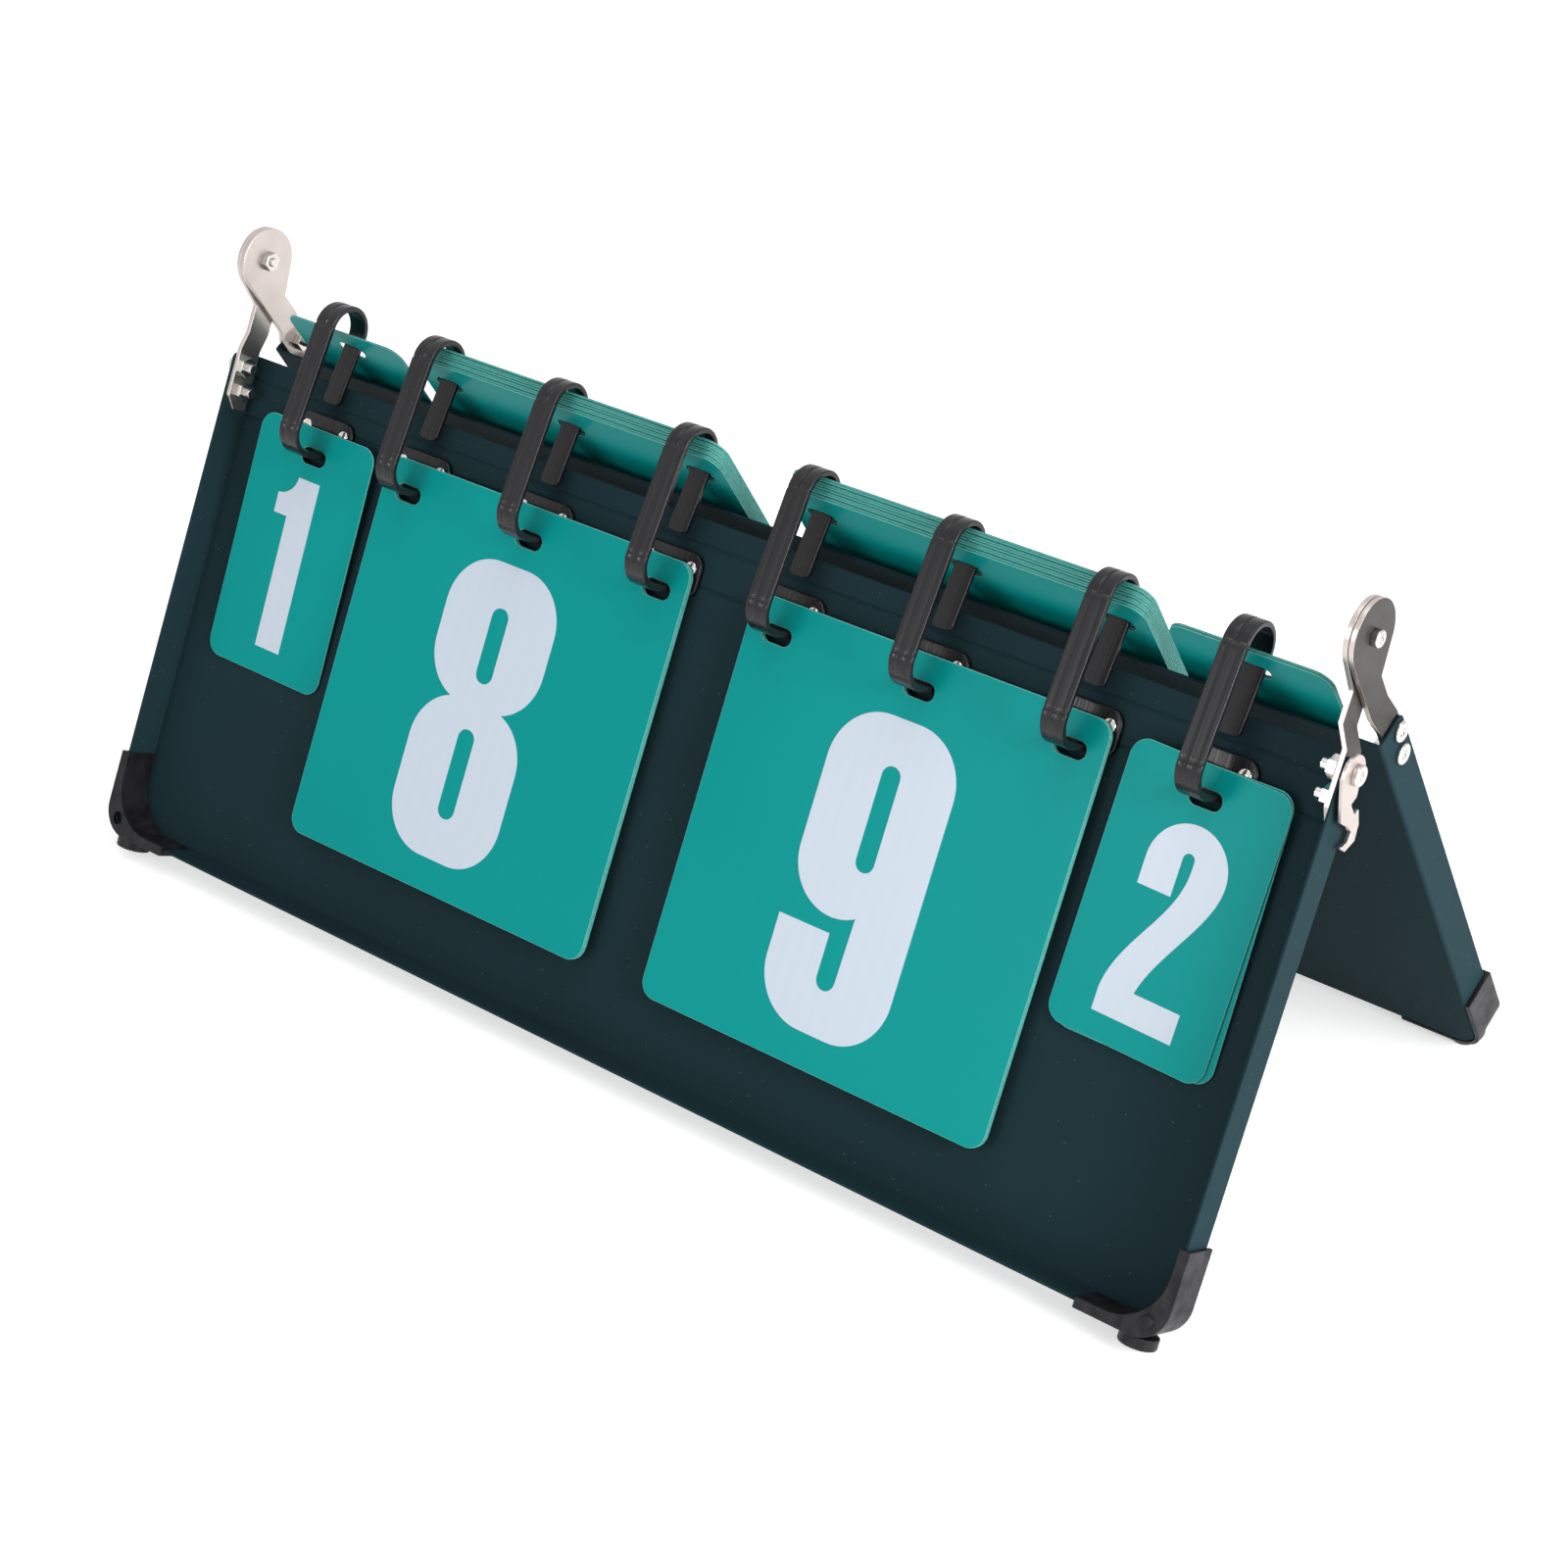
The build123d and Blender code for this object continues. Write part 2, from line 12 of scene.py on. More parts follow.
import bmesh
import bpy
import numpy as np
from mathutils import Matrix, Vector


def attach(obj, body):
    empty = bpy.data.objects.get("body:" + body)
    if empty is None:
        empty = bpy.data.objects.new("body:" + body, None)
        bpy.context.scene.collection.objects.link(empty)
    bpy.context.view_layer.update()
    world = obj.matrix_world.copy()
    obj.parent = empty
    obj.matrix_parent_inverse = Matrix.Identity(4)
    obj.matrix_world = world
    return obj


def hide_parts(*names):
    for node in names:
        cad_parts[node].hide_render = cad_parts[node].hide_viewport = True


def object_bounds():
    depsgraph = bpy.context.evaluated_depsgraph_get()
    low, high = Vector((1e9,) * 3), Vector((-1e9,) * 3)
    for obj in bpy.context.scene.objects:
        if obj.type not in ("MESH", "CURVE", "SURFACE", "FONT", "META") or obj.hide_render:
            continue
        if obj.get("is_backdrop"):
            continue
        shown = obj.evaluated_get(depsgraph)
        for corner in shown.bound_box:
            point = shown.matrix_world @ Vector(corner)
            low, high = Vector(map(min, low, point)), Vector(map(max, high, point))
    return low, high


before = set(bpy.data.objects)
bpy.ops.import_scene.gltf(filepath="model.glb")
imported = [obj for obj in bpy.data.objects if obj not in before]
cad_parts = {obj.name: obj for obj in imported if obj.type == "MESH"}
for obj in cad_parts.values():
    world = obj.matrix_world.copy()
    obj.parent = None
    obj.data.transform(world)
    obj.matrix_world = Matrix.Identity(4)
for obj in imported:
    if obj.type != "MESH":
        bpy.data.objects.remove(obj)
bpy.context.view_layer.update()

# %% [markdown]
# ## Two tray frames
# Every piece is bolted, hooked or laid on one of the two leaning trays, so its shape is easiest to write
# in that tray's own directions: along the board, up the panel from its top edge, and out of the panel.
# A 4 x 4 matrix for each tray then carries the points to their place. Sizes are in millimetres until the
# last step, when they become Blender's metres.

# %% Tray frames and their matrices
LEAN = np.radians(28.42)
HALF_GAP, TOP_UP = 3.1199, 135.7661   # half the space between the top edges, and their height
SHEET = 0.8                           # steel thickness
MM = 0.001


def tray_frame(side):
    """Columns: along, up the panel, out of it, and the middle of the top edge. Front is +1, rear -1."""
    s, c = np.sin(LEAN), np.cos(LEAN)
    m = np.eye(4)
    m[:3, :3] = np.column_stack([(side, 0, 0), (0, side * s, c), (0, -side * c, s)])
    m[:3, 3] = (0, -side * HALF_GAP, TOP_UP)
    return m


def shift(x, y, z):
    """A move by x, y and z, as a matrix."""
    m = np.eye(4)
    m[:3, 3] = x, y, z
    return m


def turn(axis, degrees):
    """Turn about x or z, anticlockwise as seen from that axis's end."""
    a = np.radians(degrees)
    i, j = {"x": (1, 2), "z": (0, 1)}[axis]
    m = np.eye(4)
    m[i, i] = m[j, j] = np.cos(a)
    m[i, j], m[j, i] = -np.sin(a), np.sin(a)
    return m


def carry(m, points):
    """Points (n, 3) in millimetres through the matrix, as metres in the board's place."""
    return (points @ m[:3, :3].T + m[:3, 3]) * MM


FRONT, REAR = tray_frame(1), tray_frame(-1)
print("front panel leans", round(float(np.degrees(LEAN)), 2), "degrees from upright")

# %% [markdown]
# ## Meshes from arrays
# A ring, a rivet or a plate is a grid of points: rows along the piece and columns round its section.
# One function gives the quads between neighbours of such a grid, another closes its ends, and a third
# puts points and faces into a mesh. A Weighted Normal modifier keeps the flats flat beside their rounded
# edges, which thin moulded and pressed pieces need, because their edges are what catch the light.

# %% Grid faces


def grid_quads(rows, cols, start=0):
    """Quads of a grid whose columns close on themselves: (i, j), (i, j+1), (i+1, j+1), (i+1, j)."""
    i, j = np.meshgrid(np.arange(rows - 1), np.arange(cols), indexing="ij")
    k = (j + 1) % cols
    corners = [i * cols + j, i * cols + k, (i + 1) * cols + k, (i + 1) * cols + j]
    return start + np.stack(corners, -1).reshape(-1, 4)


def closing_fan(first, cols, centre, flip):
    """Triangles from a centre point to each side of a closed row of points."""
    j = np.arange(cols)
    k = (j + 1) % cols
    a, b = (first + k, first + j) if flip else (first + j, first + k)
    return np.stack([a, b, np.full(cols, centre)], -1)


print("a strip of 3 rows and 4 columns has", len(grid_quads(3, 4)), "quads")

# %% Making a piece and seating it
SWEPT_FLATS = 80      # how far large faces rule the shading of a swept piece, of 100


def into_scene(name, data):
    """A new object at the origin that shows this mesh, lamp or camera."""
    holder = bpy.data.objects.new(name, data)
    bpy.context.scene.collection.objects.link(holder)
    return holder


def keep_flats(piece, weight):
    """Weighted Normal: the larger a face, the more it rules the shading at its corners."""
    flats = piece.modifiers.new("flat faces stay flat", "WEIGHTED_NORMAL")
    flats.weight, flats.keep_sharp = weight, True


def make_piece(name, points, faces, materials, smooth=True, material_index=None):
    """New object at the origin from points in metres and blocks of faces."""
    mesh = bpy.data.meshes.new(name)
    mesh.from_pydata(points.tolist(), [], [list(map(int, f)) for block in faces for f in block])
    for material in materials:
        mesh.materials.append(material)
    if material_index is not None:
        mesh.polygons.foreach_set("material_index", material_index)
    mesh.polygons.foreach_set("use_smooth", np.full(len(mesh.polygons), smooth))
    mesh.update()
    piece = into_scene(name, mesh)
    if smooth:
        keep_flats(piece, SWEPT_FLATS)
    return piece


def seat(piece, body, slot, *nodes):
    """The piece rides on a body and stands for these nodes; slot, its finish slot, is not used."""
    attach(piece, body)
    if nodes:
        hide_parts(*nodes)
    print(piece.name, len(piece.data.polygons), "faces")


# %% [markdown]
# ## Easing a built piece
# No real edge is perfectly sharp. The built trays, caps and metal pieces have the right form, so each is
# copied, cleaned and eased by a Bevel. First the copy's doubled points are merged and the triangles of
# each flat become one face, because a Bevel follows every line it finds. Bend lines between two large
# flats that are too shallow to be eased are marked sharp, so that they stay crisp.

# %% Eased copies of built pieces
SAME_POINT = 1e-6                     # metres: points nearer than this become one
SAME_FLAT = np.radians(0.1)           # faces whose angle differs less than this become one flat
CREASE_FROM = np.radians(9)           # a bend from here up to the next angle stays crisp between large flats
EASE_FROM = np.radians(32)            # a sharper bend is eased
LARGE = 12e-6                         # square metres: a larger face is a flat, not part of a curve
EASING_STEPS, EASED_FLATS = 2, 100
# width of the easing, millimetres
EASING = {"folded_sheet": 0.2, "moulded_cap": 0.2, "stamped_arm": 0.2, "stamped_hook": 0.18, "screw": 0.1}


def softened(node, kind, material):
    """A merged copy of a model node with its hard edges eased by a Bevel as wide as its kind has."""
    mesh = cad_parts[node].data.copy()
    mesh.name = node + "_soft"
    work = bmesh.new()
    work.from_mesh(mesh)
    bmesh.ops.remove_doubles(work, verts=work.verts, dist=SAME_POINT)
    for face in work.faces:
        face.smooth, face.material_index = True, 0
    bmesh.ops.dissolve_limit(work, angle_limit=SAME_FLAT, verts=work.verts, edges=work.edges)
    for edge in work.edges:
        bend = edge.calc_face_angle(0) if len(edge.link_faces) == 2 else 0
        large = min(face.calc_area() for face in edge.link_faces) > LARGE
        edge.smooth = not (large and CREASE_FROM < bend < EASE_FROM)
    work.to_mesh(mesh)
    work.free()
    mesh.materials.clear()
    mesh.materials.append(material)
    piece = into_scene(node + "_soft", mesh)
    bevel = piece.modifiers.new("edge", "BEVEL")
    bevel.width, bevel.segments = EASING[kind] * MM, EASING_STEPS
    bevel.limit_method, bevel.angle_limit = "ANGLE", EASE_FROM
    bevel.use_clamp_overlap = False
    keep_flats(piece, EASED_FLATS)
    return piece


print("easing of edges, mm:", EASING)

# %% [markdown]
# ## How materials are written
# Each material begins with what the real one is and how it was made. Colours are chosen as the eye sees
# them, as sRGB hex values, and one function turns them into the linear values that shaders need. One
# small function adds a node with its settings and links, so a material reads as a list of what it does.
# Patterns use Object coordinates in metres, so a scale of 1000 divided by a size in millimetres gives
# that size.

# %% Colour and node helpers
MIX_A, MIX_B, MIXED = 6, 7, 2      # a Mix node's colour sockets: two go in and one comes out


def linear(hex_colour):
    """sRGB to linear: v / 12.92 below 0.04045, otherwise ((v + 0.055) / 1.055) to the power 2.4."""
    v = np.array([int(hex_colour[i:i + 2], 16) for i in (1, 3, 5)]) / 255
    return (*np.where(v <= 0.04045, v / 12.92, ((v + 0.055) / 1.055) ** 2.4).tolist(), 1.0)


def add(owner, kind, links=(), values=(), **settings):
    """One node: settings are its properties or sockets; links and values pair a socket with what it takes."""
    node = owner.node_tree.nodes.new("ShaderNode" + kind)
    for key, value in settings.items():
        if hasattr(node, key):
            setattr(node, key, value)
        else:
            node.inputs[key.replace("_", " ")].default_value = value
    for socket, value in values:
        node.inputs[socket].default_value = value
    for socket, source in links:
        owner.node_tree.links.new(source, node.inputs[socket])
    return node


def new_material(name):
    """An empty material with its output, its shader and the coordinates of the piece."""
    material = bpy.data.materials.new(name)
    material.use_nodes = True
    material.node_tree.nodes.clear()
    out = add(material, "OutputMaterial")
    shader = add(material, "BsdfPrincipled")
    material.node_tree.links.new(shader.outputs["BSDF"], out.inputs["Surface"])
    return material, shader, add(material, "TexCoord").outputs["Object"]


def join(material, shader, **sources):
    """Patterns into the shader's sockets, each named with _ for a space."""
    for socket, source in sources.items():
        material.node_tree.links.new(source, shader.inputs[socket.replace("_", " ")])
    print("material:", material.name)


def per_mm(size):
    """Texture scale that gives a pattern of this size in millimetres on a piece measured in metres."""
    return 1000.0 / size


print("mid grey #808080 is", round(linear("#808080")[0], 3), "in linear light")

# %% [markdown]
# ## Powder-coated steel
# The trays are folded from 0.8 mm sheet and powder coated: dry paint, baked until it flows. It is satin,
# a very dark blue-green, and never quite level. The melt leaves a gentle orange peel a millimetre or so
# across, with a finer tooth on it. Noise at those two sizes makes the bump, and a broad, faint noise
# varies the gloss as handling does. Dust baked into the coat leaves a pale speck every centimetre or so,
# which is the small middle of each Voronoi cell near the surface.

# %% Powder coat
POWDER_DARK, POWDER_LIGHT, DUST = "#1C2E33", "#21363C", "#5A7076"
CLOUD_MM, CELL_MM, PEEL_MM, TOOTH_MM = 60, 3.5, 1.3, 0.35
powder, shader, place = new_material("powder_coated_steel_blue_green")
broad = add(powder, "TexNoise", [("Vector", place)], Scale=per_mm(CLOUD_MM), Detail=2.0)
colour = add(powder, "Mix", [("Factor", broad.outputs["Fac"])],
             [(MIX_A, linear(POWDER_DARK)), (MIX_B, linear(POWDER_LIGHT))], data_type="RGBA")
cells = add(powder, "TexVoronoi", [("Vector", place)], Scale=per_mm(CELL_MM))
speck = add(powder, "MapRange", [("Value", cells.outputs["Distance"])],
            From_Min=0.03, From_Max=0.075, To_Min=0.6, To_Max=0.0)
dusty = add(powder, "Mix", [("Factor", speck.outputs["Result"]), (MIX_A, colour.outputs[MIXED])],
            [(MIX_B, linear(DUST))], data_type="RGBA")
gloss = add(powder, "MapRange", [("Value", broad.outputs["Fac"])], To_Min=0.48, To_Max=0.58)
peel = add(powder, "TexNoise", [("Vector", place)], Scale=per_mm(PEEL_MM), Detail=1.0)
tooth = add(powder, "TexNoise", [("Vector", place)], Scale=per_mm(TOOTH_MM), Detail=2.0)
peel_bump = add(powder, "Bump", [("Height", peel.outputs["Fac"])], Strength=0.35, Distance=0.00006)
tooth_bump = add(powder, "Bump", [("Height", tooth.outputs["Fac"]), ("Normal", peel_bump.outputs["Normal"])],
                 Strength=0.25, Distance=0.00002)
shader.inputs["Specular IOR Level"].default_value = 0.02
join(powder, shader, Base_Color=dusty.outputs[MIXED], Roughness=gloss.outputs["Result"],
     Normal=tooth_bump.outputs["Normal"])

# %% [markdown]
# ## Black moulded plastic
# Rings and corner caps are injection moulded, the rings in polypropylene and the caps in nylon. Such
# plastic is never pure black. The melt runs the length of a ring's strap and leaves long fine flow lines,
# which is a noise squeezed across the strap and drawn out along it. A cap is duller and only grainy.

# %% Black plastic
BLACK_DEEP, BLACK_WORN, GRAIN_MM = "#0C0B0D", "#232125", 0.6
# how far the pattern is drawn out, its width in mm, roughness of the worn and the deep parts, specular level
PLASTICS = {"black_polypropylene_ring": (0.02, 0.55, 0.17, 0.34, 0.32),
            "black_nylon_cap": (0.5, 2.5, 0.38, 0.52, 0.2)}
black = {}
for name, (drawn, wide, worn_gloss, deep_gloss, level) in PLASTICS.items():
    plastic, shader, place = new_material(name)
    stretch = add(plastic, "Mapping", [("Vector", place)], Scale=(1.0, drawn, drawn))
    flow = add(plastic, "TexNoise", [("Vector", stretch.outputs["Vector"])], Scale=per_mm(wide), Detail=2.0)
    streak = add(plastic, "MapRange", [("Value", flow.outputs["Fac"])], From_Min=0.3, From_Max=0.7)
    colour = add(plastic, "Mix", [("Factor", streak.outputs["Result"])],
                 [(MIX_A, linear(BLACK_DEEP)), (MIX_B, linear(BLACK_WORN))], data_type="RGBA")
    gloss = add(plastic, "MapRange", [("Value", streak.outputs["Result"])],
                To_Min=deep_gloss, To_Max=worn_gloss)
    grain = add(plastic, "TexNoise", [("Vector", place)], Scale=per_mm(GRAIN_MM), Detail=2.0)
    grain_bump = add(plastic, "Bump", [("Height", grain.outputs["Fac"])], Strength=0.3, Distance=0.00003)
    line_bump = add(plastic, "Bump", [("Height", streak.outputs["Result"]),
                                      ("Normal", grain_bump.outputs["Normal"])],
                    Strength=0.5, Distance=0.00004)
    shader.inputs["Specular IOR Level"].default_value = level
    join(plastic, shader, Base_Color=colour.outputs[MIXED], Roughness=gloss.outputs["Result"],
         Normal=line_bump.outputs["Normal"])
    black[name] = plastic

# %% [markdown]
# ## Nickel-plated steel
# Arms and latch are stamped from cold-rolled strip and then plated with nickel, which is warmer than
# chrome and keeps the strip's rolling lines. The metal colour carries the warmth, and a noise stretched
# up the arm gives the lines in gloss and bump. The screws get the same plating, brighter and smoother.
# The outer faces of the right-hand arms have the same smooth plating in a much darker colour: a painted dark
# reflection.

# %% Nickel for strip and for screws
ROLLING_MM, TARNISH_MM, UPWARD = 0.6, 7.0, 0.12      # UPWARD draws the rolling lines out along z
# pale and dark plating, roughness from and to
PLATINGS = {"nickel_plated_strip": ("#CDC2BD", "#B6ACA8", 0.26, 0.42),
            # the next entry's much darker colours are a painted dark reflection, for the right-hand arms'
            # outer faces
            "nickel_strip_with_painted_dark_reflection": ("#4C4947", "#383635", 0.26, 0.42),
            "bright_nickel_screw": ("#E2DDD8", "#BEB9B5", 0.14, 0.24)}
nickel = {}
for name, (pale, dark, low, high) in PLATINGS.items():
    metal, shader, place = new_material(name)
    stretch = add(metal, "Mapping", [("Vector", place)], Scale=(1.0, 1.0, UPWARD))
    lines = add(metal, "TexNoise", [("Vector", stretch.outputs["Vector"])],
                Scale=per_mm(ROLLING_MM), Detail=3.0)
    cloud = add(metal, "TexNoise", [("Vector", place)], Scale=per_mm(TARNISH_MM), Detail=2.0)
    colour = add(metal, "Mix", [("Factor", cloud.outputs["Fac"])],
                 [(MIX_A, linear(dark)), (MIX_B, linear(pale))], data_type="RGBA")
    gloss = add(metal, "MapRange", [("Value", lines.outputs["Fac"])], To_Min=low, To_Max=high)
    bump = add(metal, "Bump", [("Height", lines.outputs["Fac"])], Strength=0.2, Distance=0.00002)
    shader.inputs["Metallic"].default_value = 1.0
    join(metal, shader, Base_Color=colour.outputs[MIXED], Roughness=gloss.outputs["Result"],
         Normal=bump.outputs["Normal"])
    nickel[name] = metal

# %% [markdown]
# ## Card sheet, its cut edge and the numeral film
# The cards are die cut from half-millimetre PVC sheet in teal, with a satin skin. The cut edge is a
# little rough. Its rounded rim is coloured pale, a painted highlight of the edge catching the light, which
# shows as a fine pale line round each card. The numerals are a pale bluish white film with a faint upright
# ribbing.

# %% Teal sheet
TEAL_DARK, TEAL_LIGHT, SHADE_MM, SKIN_MM = "#048D8B", "#089894", 90, 0.8
teal, shader, place = new_material("teal_pvc_sheet")
broad = add(teal, "TexNoise", [("Vector", place)], Scale=per_mm(SHADE_MM), Detail=1.0)
colour = add(teal, "Mix", [("Factor", broad.outputs["Fac"])],
             [(MIX_A, linear(TEAL_DARK)), (MIX_B, linear(TEAL_LIGHT))], data_type="RGBA")
fine = add(teal, "TexNoise", [("Vector", place)], Scale=per_mm(SKIN_MM), Detail=2.0)
gloss = add(teal, "MapRange", [("Value", fine.outputs["Fac"])], To_Min=0.26, To_Max=0.36)
bump = add(teal, "Bump", [("Height", fine.outputs["Fac"])], Strength=0.15, Distance=0.00002)
shader.inputs["Specular IOR Level"].default_value = 0.07
join(teal, shader, Base_Color=colour.outputs[MIXED], Roughness=gloss.outputs["Result"],
     Normal=bump.outputs["Normal"])

# %% Cut edge and rim with a painted highlight
NICK_MM = 0.9
EDGES = {"cut_edge_of_teal_sheet": ("#0A625D", "#2F8F86"),
         # the rim's pale colours are a painted highlight where the rounded edge catches the light
         "rim_of_teal_sheet_painted_highlight": ("#4FB3A9", "#8FD6CD")}
card_faces = [teal]      # materials of a card's flats, its cut sides and its rims, in that order
for name, (dark, pale) in EDGES.items():
    edge, shader, place = new_material(name)
    nicks = add(edge, "TexNoise", [("Vector", place)], Scale=per_mm(NICK_MM), Detail=3.0)
    colour = add(edge, "Mix", [("Factor", nicks.outputs["Fac"])],
                 [(MIX_A, linear(dark)), (MIX_B, linear(pale))], data_type="RGBA")
    bump = add(edge, "Bump", [("Height", nicks.outputs["Fac"])], Strength=0.5, Distance=0.00005)
    shader.inputs["Roughness"].default_value = 0.5
    join(edge, shader, Base_Color=colour.outputs[MIXED], Normal=bump.outputs["Normal"])
    card_faces.append(edge)

# %% Numeral film
FILM_DARK, FILM_LIGHT, RIB_MM = "#C5D1DE", "#C7D2DF", 2.4
WAVES = 6.2832           # a Wave texture of scale 1 has about this many waves in one unit
ink, shader, place = new_material("pale_numeral_film")
ribs = add(ink, "TexWave", [("Vector", place)], wave_type="BANDS", bands_direction="X",
           Scale=per_mm(RIB_MM) / WAVES, Distortion=0.6)
colour = add(ink, "Mix", [("Factor", ribs.outputs["Fac"])],
             [(MIX_A, linear(FILM_DARK)), (MIX_B, linear(FILM_LIGHT))], data_type="RGBA")
shader.inputs["Roughness"].default_value = 0.32
join(ink, shader, Base_Color=colour.outputs[MIXED])

# %% [markdown]
# ## The trays
# Each tray is one folded sheet with two side flanges, a bottom flange and two lines pressed along its
# top. The built node has the right form, so a merged copy is enough, with every hard edge eased by a
# fifth of a millimetre as the paint rounds it. A roller presses a line, so its two walls slope and meet
# near the middle. The points of each line's floor are moved together and a little deeper for that.

# %% Trays
LINE_DOWN, LINE_WIDE, LINE_DEEP = (6.9, 18.1), 1.4, 0.3
FLOOR_SHARE, FLOOR_SINK = 0.2, 0.15      # a line's floor keeps this share of its width and sinks by this much
ON_FLOOR = 0.02                          # a point this near the floor's level is on it


def press_lines(piece, tray):
    """Floor points of a line, in the tray's directions: distance off its middle x FLOOR_SHARE, and deeper."""
    vertices = piece.data.vertices
    points = np.zeros(len(vertices) * 3)
    vertices.foreach_get("co", points)
    local = (points.reshape(-1, 3) / MM - tray[:3, 3]) @ tray[:3, :3]
    for down in LINE_DOWN:
        off = local[:, 1] + down
        floor = (np.abs(off) < LINE_WIDE) & (np.abs(local[:, 2] - (SHEET - LINE_DEEP)) < ON_FLOOR)
        local[floor, 1] = off[floor] * FLOOR_SHARE - down
        local[floor, 2] -= FLOOR_SINK
    vertices.foreach_set("co", carry(tray, local).ravel())
    return piece


for name, tray in (("front", FRONT), ("rear", REAR)):
    pressed = press_lines(softened(name + "_panel", "folded_sheet", powder), tray)
    seat(pressed, name + "_frame", "tray_paint", name + "_panel")

# %% [markdown]
# ## Corner caps
# The moulded caps grip the flanges at the four bottom corners, and each has a stub that stands on the
# table. They are already modelled with their curves, so a merged copy with a small easing is enough.

# %% Corner caps
for end in ("front", "rear"):
    for hand in ("left", "right"):
        node = "corner_cap_%s_%s" % (end, hand)
        seat(softened(node, "moulded_cap", black["black_nylon_cap"]), end + "_frame", "cap_plastic", node)

# %% [markdown]
# ## Hinge arms, latch and fasteners
# The arms are stamped plates with a step near their foot, screwed inside the flanges. A stamping has a crisp
# edge on one side and a rolled one on the other; a small easing stands for both. Only the outer faces of the
# right-hand arms are much darker, a painted dark reflection, so a face is given its material by the
# direction it faces. Screws and nuts are eased less, because they are smaller.

# %% Hinge arms
OUTWARD = 0.6      # a face whose normal has more than this along x is an outer face
strip, painted_reflection_strip, screw = nickel.values()


def outer_finish(piece, face_material, edge_material):
    """The outer face of a stamping takes one material, its edges and inner face another.
    On the right-hand arms the outer face's much darker material is a painted dark reflection.
    """
    mesh = piece.data
    mesh.materials.clear()
    mesh.materials.append(face_material)
    mesh.materials.append(edge_material)
    normals = np.zeros(len(mesh.polygons) * 3)
    mesh.polygons.foreach_get("normal", normals)
    mesh.polygons.foreach_set("material_index", (normals[::3] < OUTWARD).astype(np.int32))
    return piece


for end in ("front", "rear"):
    # the right-hand arms' outer faces take the much darker colour, a painted dark reflection
    for hand, outer in (("left", strip), ("right", painted_reflection_strip)):
        node = "hinge_arm_%s_%s" % (end, hand)
        plate = outer_finish(softened(node, "stamped_arm", strip), outer, strip)
        seat(plate, end + "_frame", "hinge_steel", node)

# %% Latch, screws and nuts
seat(softened("latch_hook", "stamped_hook", strip), "latch", "latch_steel", "latch_hook")
for node, body in (("arm_screws_front", "front_frame"), ("arm_nuts_front", "front_frame"),
                   ("arm_screws_rear", "rear_frame"), ("arm_nuts_rear", "rear_frame"),
                   ("pivot_screw_left", "front_frame"), ("pivot_screw_right", "front_frame"),
                   ("pivot_nut_left", "front_frame"), ("pivot_nut_right", "front_frame"),
                   ("latch_screw", "front_frame"), ("latch_spacer", "front_frame")):
    seat(softened(node, "screw", screw), body, "screw_steel", node)

# %% [markdown]
# ## The card rings
# A ring is a flat strap bent into a hook: a free rear leg over the panel's edge, an arch, a long front
# leg, and a bend that passes back through the cards' slots to a foot plate riveted to the panel. The
# strap is drawn as a rounded rectangle carried along that centre line, so its edges stay rounded through
# every bend. The groove down the arch, the fine lines down the front leg and the two cross lines, where
# the mould's parts met, come from sinking the outer face a little at those places.

# %% Centre line of a ring, in the tray's (up, out) plane
STRAP_T, FRONT_WIDE, REAR_WIDE = 1.7, 7.2, 6.2
TIP, ARCH, BEND = np.array([-5.6, 2.6975]), np.array([16.15, 6.6437]), np.array([-14.2, 9.9341])
ARCH_R, BEND_R = 7.3, 7.2
REAR_LEAN, FRONT_LEAN = np.radians(9.0), np.radians(6.0)
FOOT_OUT = SHEET + 0.8                        # the strap ends inside the foot plate
ARCH_STEPS, BEND_STEPS, LEG_STEPS, RUN_STEPS = 49, 25, 12, 4
# millimetres from the tip, and from each cross line, at which a row of points is set
REAR_STOPS = np.array([0, 0.1, 0.35, 0.7, 1.0, 1.4, 2, 5, 9, 14, 19])
NEAR = np.array([0.15, 0.3, 0.5, 0.8, 1.3])
LEG_FREE = 2                                  # the even rows of the front leg start this far from its ends

StrapLine = namedtuple("StrapLine", "points out length arch_from arch_to bend_from")


